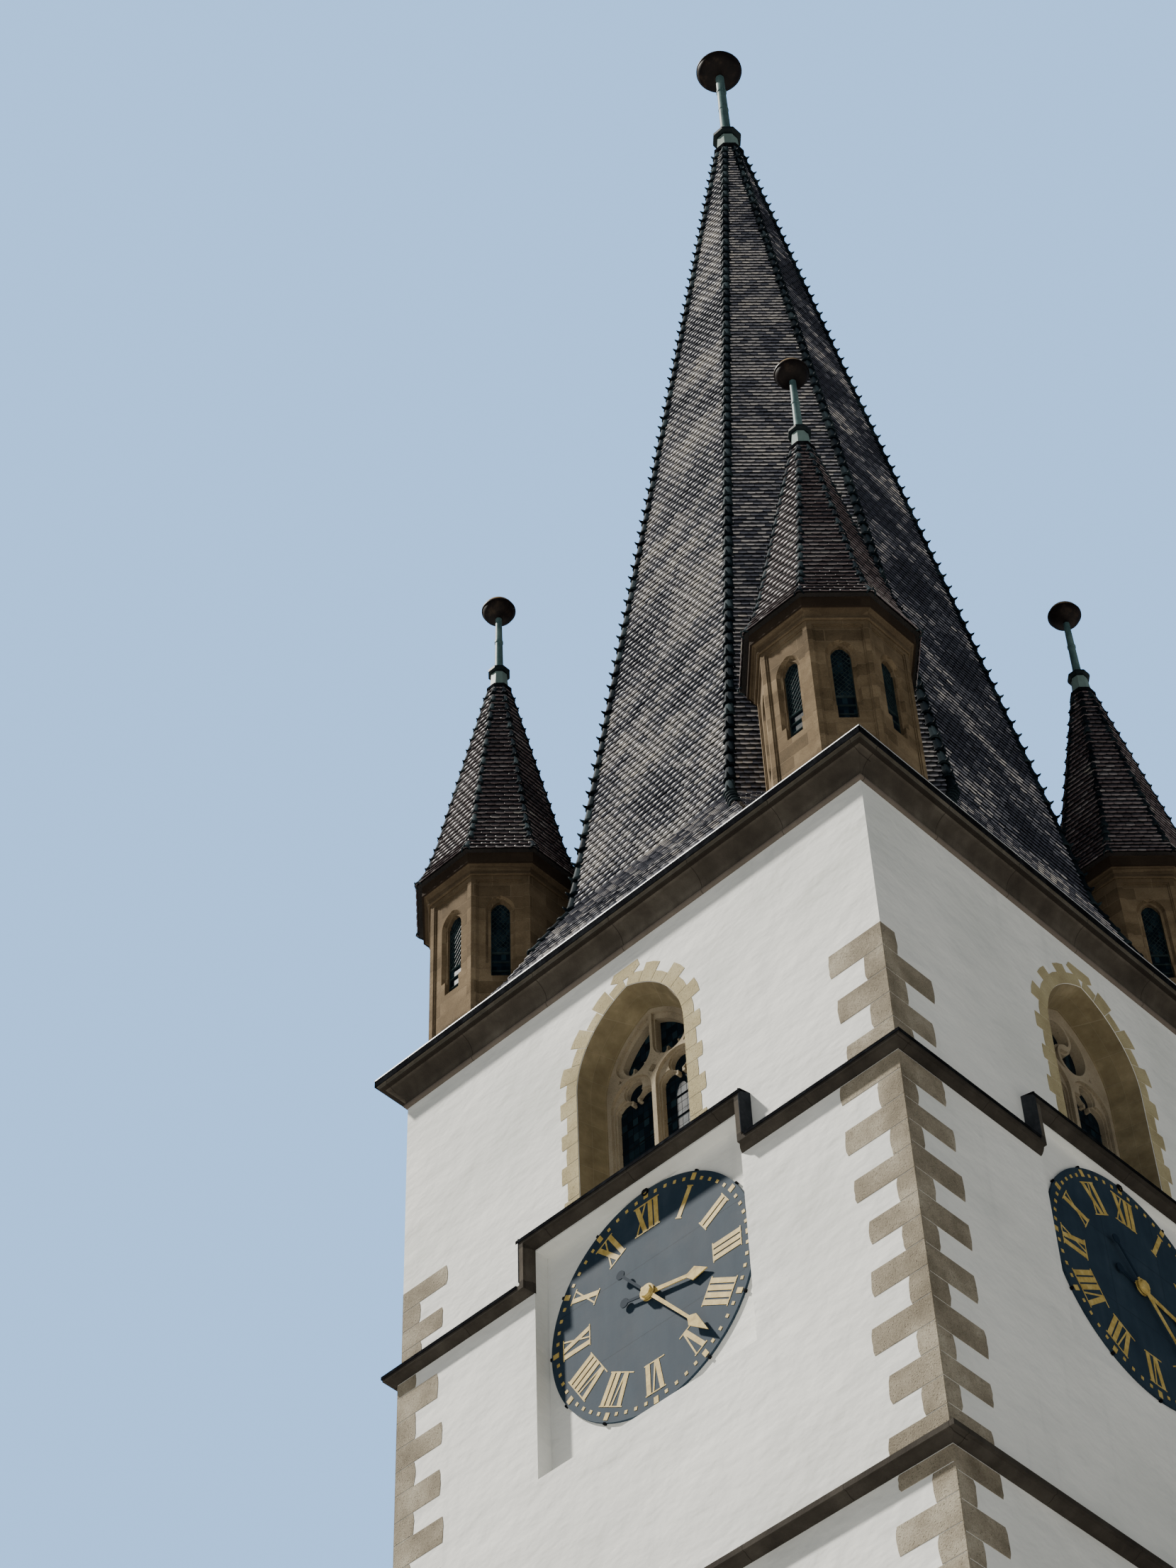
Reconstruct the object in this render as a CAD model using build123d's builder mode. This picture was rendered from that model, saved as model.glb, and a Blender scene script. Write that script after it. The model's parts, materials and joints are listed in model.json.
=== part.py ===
from build123d import *
from math import acos, cos, pi, radians, sin, sqrt, tan
import os

# Plastered Gothic church tower with four corner turrets and a tiled octagonal spire.
# Scale model at 1:2: every size is in millimetres of the model, half of the real one.
# The origin is at ground level on the tower's axis, +Z up. The front faces -Y, the right +X.

os.makedirs("parts", exist_ok=True)

# The four sides, and how far each is turned about Z from the front
SIDES = {"front": 0, "right": 90, "back": 180, "left": 270}

# Clearances: between pieces set into one another, round a running arbor, and between blocks
fit = 0.3
arbor_fit = 0.1
joint = 0.4

# Plan of the tower at the belfry, wall face to axis
half_x = 2415
half_y = 2508

# Heights of the stages, one above the other from the ground
lower_stage = 12900
clock_stage = 3290
string_rise = 420
belfry_stage = 2600

# Walls
shaft_wall = 650
belfry_wall = 500
shaft_proud = 18

# Floors
floor_thickness = 150
ground_thickness = 150
first_storey = 5200
second_storey = 3800
belfry_floor_drop = 190
deck_thickness = 200

# Plinth
plinth_height = 620
plinth_projection = 70
plinth_chamfer = 60

# String courses
string_projection = 99
string_height = 100
string_weathering = 25
string_fascia = 42
string_undercut = 25
string_cove_out = 30
string_cove_low = 6
string_cove_high = 8
string_hollow_out = 55
string_hollow_low = 18
string_hollow_high = 14
string_leg_gap = 5

# Main cornice, from the wall up: bead, cavetto, two fillets and the square edge
cornice_height = 307
cornice_projection = 182
cornice_edge = 62
cornice_fillet = 34
cornice_roll = 26
cornice_step = 13

# Belfry windows: two-centred arches over their sills, set back in a splayed reveal
window_half = 550
window_spring_height = 1150
arch_centre = 250
reveal_splay = 70
reveal_depth = 250
tracery_thickness = 90
glass_thickness = 12

# Window tracery: an outer order of fillets, a plain order set back, and cusped lights behind them
outer_order = 28
inner_order = 48
light_place = 230
light_half = 190
light_edge = 20
light_drop = 130
low_light_drop = 185
light_sill = 40
lobe_radius = 85
neck_half = 21
foil_radius = 85
foil_rise = 137
foil_growth = 10
cusp_ball = 13
cusp_ball_place = 34
cusp_ball_rise = 26
head_rise = 30
upper_level = 300
upper_bar = 13
upper_bar_back = 25
upper_band = 40
upper_band_back = 85
upper_shelf = 240
upper_foil = 53
upper_foil_rise = 60
side_foil = 38
side_foil_place = 100
side_foil_rise = 78
lozenge_side = 62
lozenge_side_back = 48
lozenge_level = 64
corner_gap = 24
corner_gap_back = 16
corner_gap_place = 335
corner_gap_level = 138
wheel_level = 290
wheel_radius = 245
wheel_bar = 30
wheel_bar_back = 50
wheel_tilt = 25
wheel_corner_place = 268
wheel_corner_level = 118

# Slit windows in the shaft, measured up from the floors
slit_half = 60
slit_height = 700
slit_splay = 70
slit_splay_depth = 150
slit_sill = 1200

# Portal in the front
portal_half = 520
portal_spring = 1000
portal_centre = 200
portal_order = 180
portal_inner_order = 90
portal_depth = 300
portal_inner_depth = 150
door_thickness = 60
door_set_back = 40

# Clocks, each in a panel under the raised string course
dial_radius = 965
dial_thickness = 20
panel_top_gap = 15
dial_top_gap = 4
dial_side_gap = 40
dial_bottom_gap = 116
deep_recess = 120
flat_recess = 50
bush_radius = 48
bush_proud = 8
arbor_bore = 60

# Hands, with their levels in front of the dial's face
hour_tube_radius = 30
minute_arbor_radius = 15
arbor_tail = 80
hand_plate = 8
hour_level = 20
minute_level = 38
boss_height = 16
boss_radius = 52
boss_taper = 20
hub_radius = 64
hour_length = 560
hour_leaf = 157
hour_width = 56
minute_length = 850
minute_leaf = 238
minute_width = 48
hour_tail = 235
minute_tail = 380
tail_width = 22
tail_disc = 38
hour_angle = 101.75
minute_angle = 141

# Corner turrets: octagons with flats along the walls and the diagonals
turret_inset_x = 523.5
turret_inset_y = 543.5
turret_apothem = 591
turret_wall = 130
turret_drum = 1840
turret_cornice = 210
turret_cornice_projection = 75
turret_cornice_fascia = 118
turret_cornice_roll = 24
turret_cornice_step = 14
panel_margin = 42
panel_step = 14
panel_sink = 9
panel_head = 46
lancet_half = 135
lancet_sill = 645
lancet_spring_height = 795
lancet_centre = 60
lancet_splay = 55
lancet_depth = 80
lancet_order_depth = 46
lancet_order_splay = 32
lancet_order_rise = 150
LANCET_FACETS = (-90, -45, 0, 45, 90)

# Turret roofs: overhanging eaves, two bends of the bellcast above them, and the tip
eaves_overhang = 39
lower_bend_level = 230
lower_bend_inset = 90
upper_bend_level = 510
upper_bend_inset = 160
turret_roof_height = 2980
turret_tip = 88
turret_shell = 60

# Spire: a pyramid that passes close by the turrets' eaves, and its tip
spire_height = 15100
spire_tip = 128
spire_shell = 100
spire_gap = 8.6

# Skirt of the spire, which spreads to the cornice between the turrets
skirt_edge_gap = 7
skirt_tuck = 100
skirt_lower_level = 270
skirt_lower_out = 15
skirt_lower_flat = -10
skirt_upper_level = 600
skirt_upper_out = -125
skirt_upper_flat = -180
skirt_height = 1100
skirt_neck = 110

# Finials: octagonal neck, moulded collar, ringed pole and lidded ball, measured up from the roof's tip
spire_neck_top = 117
spire_collar = 163
spire_collar_level = 348
spire_collar_height = 114
spire_collar_step = 24
spire_pole = 50
spire_ball = 270
spire_ball_rise = 170
spire_ball_level = 2080
turret_neck_top = 72
turret_collar = 100
turret_collar_level = 250
turret_collar_height = 70
turret_collar_step = 16
turret_pole = 29
turret_ball = 155
turret_ball_rise = 126
turret_ball_level = 1255
pole_flare = 12
ring_proud = 12
ring_height = 22
lip_proud = 8
lip_height = 14
ball_crown = 40
SPIRE_RINGS = (0.15, 0.45, 0.75)
TURRET_RINGS = (0.09, 0.55)
COLLAR_RINGS = ((0.18, 0.3), (0.3, 1), (0.72, 1), (0.84, 0.3))

# Levels above the ground
string_top = lower_stage + clock_stage
belfry_base = string_top + string_rise
cornice_top = belfry_base + belfry_stage
floor_tops = (first_storey, first_storey + second_storey)
belfry_floor_top = string_top - belfry_floor_drop
window_spring = belfry_base + window_spring_height
panel_top = belfry_base - string_height - panel_top_gap
dial_centre = panel_top - dial_top_gap - dial_radius
panel_bottom = dial_centre - dial_radius - dial_bottom_gap
panel_half = dial_radius + dial_side_gap
string_leg = panel_half + string_leg_gap + string_height

# Places of the turrets and of the spire between them
turret_x = half_x - turret_inset_x
turret_y = half_y - turret_inset_y
turret_top = turret_drum + turret_cornice
turret_eaves = turret_apothem + turret_cornice_projection + eaves_overhang
spire_shoulder = (turret_x + turret_y) / sqrt(2) - turret_eaves - spire_gap
spire_slope = (spire_shoulder - spire_tip) / (spire_height - turret_top)
UP = Vector(0, 0, 1)


def ground(turn, level=0):
    """Horizontal plane at a level, turned so that -Y looks out of the chosen side."""
    return Plane.XY.offset(level).rotated((0, 0, turn))


def facade(turn, distance):
    """Upright plane of a side: x to the right seen from outside, y up, z outwards."""
    flat = Plane.XY.rotated((0, 0, turn))
    outward = flat.y_dir * -1
    return Plane(origin=outward * distance, x_dir=flat.x_dir, z_dir=outward)


def face_half(side):
    return half_x if side in ("front", "back") else half_y


def face_distance(side):
    return half_y if side in ("front", "back") else half_x


def mitred_plan(side, inside, outside, trim=0):
    """Plan of one side between its two corner mitres, from inside the wall face to outside it."""
    half = face_half(side)
    distance = face_distance(side)
    inner = half - inside - trim
    outer = half + outside - trim
    near = -(distance + outside)
    far = -(distance - inside)
    Polygon((-inner, far), (inner, far), (outer, near), (-outer, near), align=None)


def arch_rise(half, centre):
    radius = half + centre
    return sqrt(radius**2 - centre**2)


def pointed_opening(half, sill, spring, centre):
    """Outline of an opening with a pointed head, drawn in the current sketch."""
    radius = half + centre
    lift = arch_rise(half, centre)
    middle = acos(centre / radius) / 2
    haunch_x = radius * cos(middle) - centre
    haunch_y = spring + radius * sin(middle)
    with BuildLine() as outline:
        Polyline((-half, spring), (-half, sill), (half, sill), (half, spring))
        ThreePointArc((half, spring), (haunch_x, haunch_y), (0, spring + lift))
        ThreePointArc((0, spring + lift), (-haunch_x, haunch_y), (-half, spring))
    make_face(outline.edges())


def octagon(half_across, half_along, flat_x, flat_y):
    """Octagon with sides along x and y of the given half-lengths, drawn in the current sketch."""
    points = [
        (flat_x, -half_along),
        (half_across, -flat_y),
        (half_across, flat_y),
        (flat_x, half_along),
        (-flat_x, half_along),
        (-half_across, flat_y),
        (-half_across, -flat_y),
        (-flat_x, -half_along),
    ]
    Polygon(*points, align=None)


def regular_octagon(apothem):
    flat = apothem * tan(pi / 8)
    octagon(apothem, apothem, flat, flat)


def compass(centre, heading, level=0):
    """Horizontal plane over a centre, whose x axis looks out along a heading in degrees."""
    outward = Vector(cos(radians(heading)), sin(radians(heading)), 0)
    return Plane(origin=centre + UP * level, x_dir=outward, z_dir=UP)


def sector(half_angle, reach):
    """Wedge about the x axis, with half a joint taken off each of its sides."""
    spread = tan(radians(half_angle))
    apex = joint / 2 / sin(radians(half_angle))
    Polygon((apex, 0), (reach, -(reach - apex) * spread), (reach, (reach - apex) * spread), align=None)


def octagon_side(centre, heading, profile, bottom, top, reach):
    """One of the eight sides of a ring: a radial profile carried along it and mitred at both ends."""
    base = compass(centre, heading, bottom)
    with BuildPart() as segment:
        with BuildSketch(Plane(origin=centre, x_dir=base.x_dir, z_dir=base.x_dir.cross(UP))):
            profile()
        extrude(amount=reach, both=True)
        with BuildSketch(base):
            sector(22.5, 2 * reach)
        extrude(amount=top - bottom, mode=Mode.INTERSECT)
    return segment.part


def save(part, name):
    part.label = name
    export_step(part, f"parts/{name}.step")


# Floors
inner_x = half_x + shaft_proud - shaft_wall
inner_y = half_y + shaft_proud - shaft_wall
belfry_inner_x = half_x - belfry_wall
belfry_inner_y = half_y - belfry_wall

with BuildPart() as ground_floor:
    with BuildSketch():
        Rectangle(2 * inner_x, 2 * inner_y)
    extrude(amount=ground_thickness)
save(ground_floor.part, "ground_floor")

with BuildPart() as shaft_floors:
    for top in floor_tops:
        with BuildSketch(Plane.XY.offset(top)):
            Rectangle(2 * inner_x, 2 * inner_y)
        extrude(amount=-floor_thickness)
save(shaft_floors.part, "shaft_floors")

with BuildPart() as belfry_floor:
    with BuildSketch(Plane.XY.offset(belfry_floor_top)):
        Rectangle(2 * inner_x, 2 * inner_y)
    extrude(amount=-floor_thickness)
save(belfry_floor.part, "belfry_floor")

with BuildPart() as tower_deck:
    with BuildSketch(Plane.XY.offset(cornice_top)):
        Rectangle(2 * belfry_inner_x, 2 * belfry_inner_y)
    extrude(amount=-deck_thickness)
save(tower_deck.part, "tower_deck")


# Shaft walls, from the ground to the belfry sills, with the clock panel sunk into the face
def recess(side):
    return deep_recess if side in ("front", "back") else flat_recess


for side, turn in SIDES.items():
    distance = face_distance(side)
    with BuildPart() as wall:
        with BuildSketch(ground(turn)):
            mitred_plan(side, shaft_wall - shaft_proud, shaft_proud)
        extrude(amount=string_top - string_height)
        with BuildSketch(ground(turn, string_top - string_height)):
            mitred_plan(side, shaft_wall - shaft_proud, 0)
        extrude(amount=belfry_base - string_top + string_height)
        with BuildSketch(facade(turn, distance - recess(side))):
            with Locations((0, (panel_top + panel_bottom) / 2)):
                Rectangle(2 * panel_half, panel_top - panel_bottom)
        extrude(amount=recess(side) + 2 * shaft_proud, mode=Mode.SUBTRACT)
        with BuildSketch(facade(turn, distance)):
            with Locations((0, dial_centre)):
                Circle(arbor_bore)
        extrude(amount=-2 * shaft_wall, mode=Mode.SUBTRACT)
        for floor_top in floor_tops:
            middle = floor_top + slit_sill + slit_height / 2
            with BuildSketch(facade(turn, distance)):
                with Locations((0, middle)):
                    Rectangle(2 * slit_half, slit_height)
            extrude(amount=2 * shaft_wall, both=True, mode=Mode.SUBTRACT)
            with BuildSketch(facade(turn, distance + shaft_proud)):
                with Locations((0, middle)):
                    Rectangle(2 * (slit_half + slit_splay), slit_height + 2 * slit_splay)
            with BuildSketch(facade(turn, distance + shaft_proud - slit_splay_depth)):
                with Locations((0, middle)):
                    Rectangle(2 * slit_half, slit_height)
            loft(mode=Mode.SUBTRACT)
        if side == "front":
            with BuildSketch(facade(turn, distance + shaft_proud)):
                pointed_opening(portal_half, 0, portal_spring, portal_centre)
            extrude(amount=-2 * shaft_wall, mode=Mode.SUBTRACT)
            with BuildSketch(facade(turn, distance + shaft_proud)):
                pointed_opening(portal_half + portal_order, 0, portal_spring, portal_centre)
            extrude(amount=-portal_depth, mode=Mode.SUBTRACT)
    save(wall.part, f"shaft_wall_{side}")


# Belfry walls, each with one pointed window that starts on the shaft wall's top
for side, turn in SIDES.items():
    distance = face_distance(side)
    with BuildPart() as wall:
        with BuildSketch(ground(turn, belfry_base)):
            mitred_plan(side, belfry_wall, 0)
        extrude(amount=cornice_top - belfry_base)
        with BuildSketch(facade(turn, distance)):
            pointed_opening(window_half - reveal_splay, belfry_base, window_spring, arch_centre)
        extrude(amount=-2 * belfry_wall, mode=Mode.SUBTRACT)
        with BuildSketch(facade(turn, distance)):
            pointed_opening(window_half, belfry_base, window_spring, arch_centre)
        with BuildSketch(facade(turn, distance - reveal_depth)):
            pointed_opening(window_half - reveal_splay, belfry_base, window_spring, arch_centre)
        loft(mode=Mode.SUBTRACT)
    save(wall.part, f"belfry_wall_{side}")


# Window tracery, drawn from the window's axis and the springing of its arch
tracery_half = window_half - reveal_splay - fit
arch_radius = tracery_half + arch_centre
sill_drop = window_spring - belfry_base - light_sill


def window_plane(side, depth):
    """Upright plane of a window, its origin on the window's axis at the springing."""
    upright = facade(SIDES[side], face_distance(side) - reveal_depth - fit - depth)
    return Plane(origin=upright.origin + UP * window_spring, x_dir=upright.x_dir, z_dir=upright.z_dir)


def light_pair(half, drop):
    """Two plain round-headed lights with their springing at a drop under the arch's."""
    for x in (-light_place, light_place):
        with Locations((x, -drop)):
            Rectangle(2 * half, sill_drop - drop, align=(Align.CENTER, Align.MAX))
            Circle(half)


def trefoil_pair(drop, growth):
    """The same two lights with a foil over two lobes in each head, and a ball on each cusp."""
    half = light_half + growth
    for x in (-light_place, light_place):
        with Locations((x, -drop)):
            Rectangle(2 * half, sill_drop - drop, align=(Align.CENTER, Align.MAX))
            Rectangle(2 * neck_half, foil_rise, align=(Align.CENTER, Align.MIN))
        with Locations((x - light_half + lobe_radius, -drop), (x + light_half - lobe_radius, -drop)):
            Circle(lobe_radius + growth)
        with Locations((x, -drop + foil_rise)):
            Circle(foil_radius + growth)
        if growth == 0:
            level = -drop + cusp_ball_rise
            with Locations((x - cusp_ball_place, level), (x + cusp_ball_place, level)):
                Circle(cusp_ball, mode=Mode.SUBTRACT)


def upper_light(band, bar):
    """Left light between the arch, the middle bar and a round bottom."""
    radius = arch_radius - band
    arch_x = sqrt(radius**2 - upper_level**2) - arch_centre
    top = sqrt(radius**2 - (arch_centre + bar) ** 2)
    haunch_y = (upper_level + top) / 2
    haunch_x = sqrt(radius**2 - haunch_y**2) - arch_centre
    round_half = (arch_x - bar) / 2
    middle = -bar - round_half
    foot = upper_level - round_half
    with BuildLine() as outline:
        Line((-bar, upper_level), (-bar, top))
        ThreePointArc((-bar, top), (-haunch_x, haunch_y), (-arch_x, upper_level))
        ThreePointArc((-arch_x, upper_level), (middle, foot), (-bar, upper_level))
    return outline.edges(), middle, foot


def upper_pair(band, bar, foiled):
    """Both upper lights, the back ones with a foil between cusps at their feet."""
    edges, middle, foot = upper_light(band, bar)
    make_face(edges)
    if foiled:
        with Locations((middle, upper_shelf)):
            Rectangle(2 * light_half, light_half, align=(Align.CENTER, Align.MAX), mode=Mode.SUBTRACT)
        with Locations((middle, foot + upper_foil_rise)):
            Circle(upper_foil)
        for place in (middle - side_foil_place, middle + side_foil_place):
            with Locations((place, foot + side_foil_rise)):
                Circle(side_foil)
    mirror(about=Plane.YZ)


def small_gaps(place, level, size):
    """Small three-sided gaps beside the heads of the lights."""
    with Locations((-place, level), (place, level)):
        RegularPolygon(size, 3, rotation=90)


def mouchette(bar):
    """One of two fish-bladder openings that turn about each other in the wheel."""
    with BuildSketch() as drop:
        Circle(wheel_radius)
        Rectangle(wheel_radius, 2 * wheel_radius, align=(Align.MAX, Align.CENTER), mode=Mode.SUBTRACT)
        with Locations((0, -wheel_radius / 2)):
            Circle(wheel_radius / 2)
        with Locations((0, wheel_radius / 2)):
            Circle(wheel_radius / 2 + bar, mode=Mode.SUBTRACT)
    return drop.sketch


def lozenge(side_length):
    with Locations((0, lozenge_level)):
        Rectangle(side_length, side_length, rotation=45)


def wheel(bar):
    """Both fish bladders of the side windows."""
    drop = mouchette(bar)
    with Locations((0, wheel_level)):
        add(drop, rotation=wheel_tilt)
        add(drop, rotation=wheel_tilt + 180)


with BuildSketch() as front_outer:
    light_pair(light_half + light_edge, light_drop - head_rise)
    upper_pair(upper_band, upper_bar, False)
    lozenge(lozenge_side)
    small_gaps(corner_gap_place, corner_gap_level, corner_gap)

with BuildSketch() as front_middle:
    trefoil_pair(light_drop, foil_growth)
    upper_pair(upper_band_back, upper_bar_back, False)
    lozenge(lozenge_side_back)
    small_gaps(corner_gap_place, corner_gap_level, corner_gap_back)

with BuildSketch() as front_inner:
    trefoil_pair(light_drop, 0)
    upper_pair(upper_band_back, upper_bar_back, True)
    lozenge(lozenge_side_back)
    small_gaps(corner_gap_place, corner_gap_level, corner_gap_back)

with BuildSketch() as side_outer:
    light_pair(light_half + light_edge, low_light_drop - head_rise)
    wheel(wheel_bar)
    small_gaps(wheel_corner_place, wheel_corner_level, corner_gap)

with BuildSketch() as side_middle:
    trefoil_pair(low_light_drop, foil_growth)
    wheel(wheel_bar_back)
    small_gaps(wheel_corner_place, wheel_corner_level, corner_gap_back)

with BuildSketch() as side_inner:
    trefoil_pair(low_light_drop, 0)
    wheel(wheel_bar_back)
    small_gaps(wheel_corner_place, wheel_corner_level, corner_gap_back)

front_orders = (front_outer.sketch, front_middle.sketch, front_inner.sketch)
side_orders = (side_outer.sketch, side_middle.sketch, side_inner.sketch)
order_depths = ((0, outer_order), (outer_order, inner_order), (inner_order, tracery_thickness))

with BuildPart() as window_tracery:
    for side in SIDES:
        with BuildSketch(window_plane(side, 0)):
            pointed_opening(tracery_half, belfry_base - window_spring, 0, arch_centre)
        extrude(amount=-tracery_thickness)
        orders = front_orders if side in ("front", "back") else side_orders
        for order, (near, far) in zip(orders, order_depths):
            with BuildSketch(window_plane(side, near)):
                add(order)
            extrude(amount=near - far, mode=Mode.SUBTRACT)
save(window_tracery.part, "window_tracery")

with BuildPart() as belfry_glass:
    for side, turn in SIDES.items():
        back_plane = facade(turn, face_distance(side) - reveal_depth - tracery_thickness - 2 * fit)
        with BuildSketch(back_plane):
            pointed_opening(tracery_half, belfry_base, window_spring, arch_centre)
        extrude(amount=-glass_thickness)
save(belfry_glass.part, "belfry_glass")


# Straight moulded bars along the four sides, mitred at the corners
def moulded_bar(side, bottom, top, proud, projection, profile):
    """One bar with a profile that a function draws in outward and upward sizes."""
    turn = SIDES[side]
    half = face_half(side) + projection
    wall_face = facade(turn, face_distance(side))
    section = Plane(
        origin=wall_face.from_local_coords((-half, 0, 0)), x_dir=wall_face.z_dir, z_dir=wall_face.x_dir * -1
    )
    with BuildPart() as bar:
        with BuildSketch(section):
            profile()
        extrude(amount=-2 * half)
        with BuildSketch(ground(turn, bottom)):
            mitred_plan(side, -proud, projection, joint)
        extrude(amount=top - bottom, mode=Mode.INTERSECT)
    return bar.part


def plinth_profile():
    Polygon(
        (shaft_proud, 0),
        (plinth_projection, 0),
        (plinth_projection, plinth_height - plinth_chamfer),
        (shaft_proud, plinth_height),
        align=None,
    )


def lower_string_profile():
    outer = string_projection + shaft_proud
    bottom = lower_stage - string_height
    weathering = lower_stage - string_weathering
    fascia_bottom = weathering - string_fascia
    with BuildLine() as outline:
        Polyline(
            (shaft_proud, bottom),
            (shaft_proud, lower_stage),
            (outer, weathering),
            (outer, fascia_bottom),
            (outer - string_undercut, fascia_bottom),
        )
        RadiusArc((outer - string_undercut, fascia_bottom), (shaft_proud, bottom), string_projection)
    make_face(outline.edges())


def cornice_profile():
    """From the wall up: a bead, a large cavetto, two fillets and the square edge."""
    bottom = cornice_top - cornice_height
    edge_bottom = cornice_top - cornice_edge
    fillet_bottom = edge_bottom - cornice_fillet
    cove_bottom = bottom + 2 * cornice_roll
    cove_out = cornice_projection - 2 * cornice_step
    cove_in = cornice_step
    hollow = sin(radians(45))
    with BuildLine() as outline:
        ThreePointArc((0, bottom), (cornice_roll, bottom + cornice_roll), (cove_in, cove_bottom))
        ThreePointArc(
            (cove_in, cove_bottom),
            (cove_out - (cove_out - cove_in) * hollow, cove_bottom + (fillet_bottom - cove_bottom) * hollow),
            (cove_out, fillet_bottom),
        )
        Polyline(
            (cove_out, fillet_bottom),
            (cornice_projection - cornice_step, fillet_bottom),
            (cornice_projection - cornice_step, edge_bottom),
            (cornice_projection, edge_bottom),
            (cornice_projection, cornice_top),
            (0, cornice_top),
            (0, bottom),
        )
    make_face(outline.edges())


with BuildPart() as plinth:
    for side in SIDES:
        add(moulded_bar(side, 0, plinth_height, shaft_proud, plinth_projection, plinth_profile))
    with BuildSketch(facade(0, half_y + plinth_projection)):
        pointed_opening(portal_half + portal_order + fit, 0, portal_spring, portal_centre)
    extrude(amount=-2 * plinth_projection, mode=Mode.SUBTRACT)
save(plinth.part, "plinth")

with BuildPart() as lower_string_course:
    bottom = lower_stage - string_height
    projection = string_projection + shaft_proud
    for side in SIDES:
        add(moulded_bar(side, bottom, lower_stage, shaft_proud, projection, lower_string_profile))
save(lower_string_course.part, "lower_string_course")

with BuildPart() as main_cornice:
    bottom = cornice_top - cornice_height
    for side in SIDES:
        add(moulded_bar(side, bottom, cornice_top, 0, cornice_projection, cornice_profile))
save(main_cornice.part, "main_cornice")


# String course under the belfry, which steps up round each clock
def string_band(end, low, high):
    """Stepped outline of the band, drawn in by a little on its lower and on its upper side."""
    foot = string_top - string_height + low
    top = string_top - high
    inner = string_leg - string_height + low
    outer = string_leg - high
    raised_foot = foot + string_rise
    raised_top = top + string_rise
    right = [(inner, raised_foot), (inner, foot), (end, foot), (end, top), (outer, top), (outer, raised_top)]
    Polygon(*right, *[(-x, y) for x, y in reversed(right)], align=None)


cove_foot = string_height - string_weathering - string_fascia
string_stations = (
    (0, 0, 0),
    (string_cove_out, string_cove_low, string_cove_high),
    (string_hollow_out, string_hollow_low, string_hollow_high),
    (string_projection - string_undercut, cove_foot, string_weathering * 3 / 4),
    (string_projection, cove_foot, string_weathering),
)

for side, turn in SIDES.items():
    distance = face_distance(side)
    end = face_half(side) + 2 * string_projection
    with BuildPart() as string_course:
        for near, far in zip(string_stations, string_stations[1:]):
            for out, low, high in (near, far):
                with BuildSketch(facade(turn, distance + out)):
                    string_band(end, low, high)
            loft(ruled=True)
        with BuildSketch(ground(turn, string_top - string_height)):
            mitred_plan(side, 0, string_projection, joint)
        extrude(amount=belfry_base - string_top + string_height, mode=Mode.INTERSECT)
    save(string_course.part, f"clock_string_course_{side}")


# Portal: a moulded stone frame in the front wall and a fixed plank door behind it
frame_face = half_y + shaft_proud
with BuildPart() as portal_frame:
    with BuildSketch(facade(0, frame_face)):
        pointed_opening(portal_half + portal_order - fit, 0, portal_spring, portal_centre)
    extrude(amount=-portal_depth + fit)
    with BuildSketch(facade(0, frame_face)):
        pointed_opening(portal_half, 0, portal_spring, portal_centre)
    extrude(amount=-portal_depth, mode=Mode.SUBTRACT)
    with BuildSketch(facade(0, frame_face)):
        pointed_opening(portal_half + portal_inner_order, 0, portal_spring, portal_centre)
    extrude(amount=-portal_inner_depth, mode=Mode.SUBTRACT)
save(portal_frame.part, "portal_frame")

with BuildPart() as portal_door:
    with BuildSketch(facade(0, frame_face - portal_depth - door_set_back)):
        pointed_opening(portal_half - fit, 0, portal_spring, portal_centre)
    extrude(amount=-door_thickness)
save(portal_door.part, "portal_door")


# Clock dials and hands
with BuildPart() as clock_dials:
    for side, turn in SIDES.items():
        floor_plane = facade(turn, face_distance(side) - recess(side))
        with BuildSketch(floor_plane):
            with Locations((0, dial_centre)):
                Circle(dial_radius)
        extrude(amount=dial_thickness)
        with BuildSketch(floor_plane):
            with Locations((0, dial_centre)):
                Circle(bush_radius)
        extrude(amount=dial_thickness + bush_proud)
        with BuildSketch(floor_plane):
            with Locations((0, dial_centre)):
                Circle(hour_tube_radius + arbor_fit)
        extrude(amount=dial_thickness + bush_proud, mode=Mode.SUBTRACT)
save(clock_dials.part, "clock_dials")


def hand_plane(side, level, angle):
    """Plane in front of a dial whose y axis points along the hand."""
    dial_face = face_distance(side) - recess(side) + dial_thickness
    upright = facade(SIDES[side], dial_face + level)
    turned = upright.x_dir * cos(radians(angle)) - upright.y_dir * sin(radians(angle))
    return Plane(origin=upright.from_local_coords((0, dial_centre, 0)), x_dir=turned, z_dir=upright.z_dir)


def hand_outline(length, leaf_length, width, tail_length):
    """Pointer that narrows to a leaf-shaped end, and a tail rod with its balance disc."""
    leaf = length - leaf_length
    Polygon((-width / 3, 0), (width / 3, 0), (width / 4, leaf), (-width / 4, leaf), align=None)
    Polygon((0, leaf - width), (width, leaf + width / 2), (0, length), (-width, leaf + width / 2), align=None)
    with Locations((0, -tail_length / 2)):
        Rectangle(tail_width, tail_length)
    with Locations((0, -tail_length)):
        Circle(tail_disc)


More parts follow.
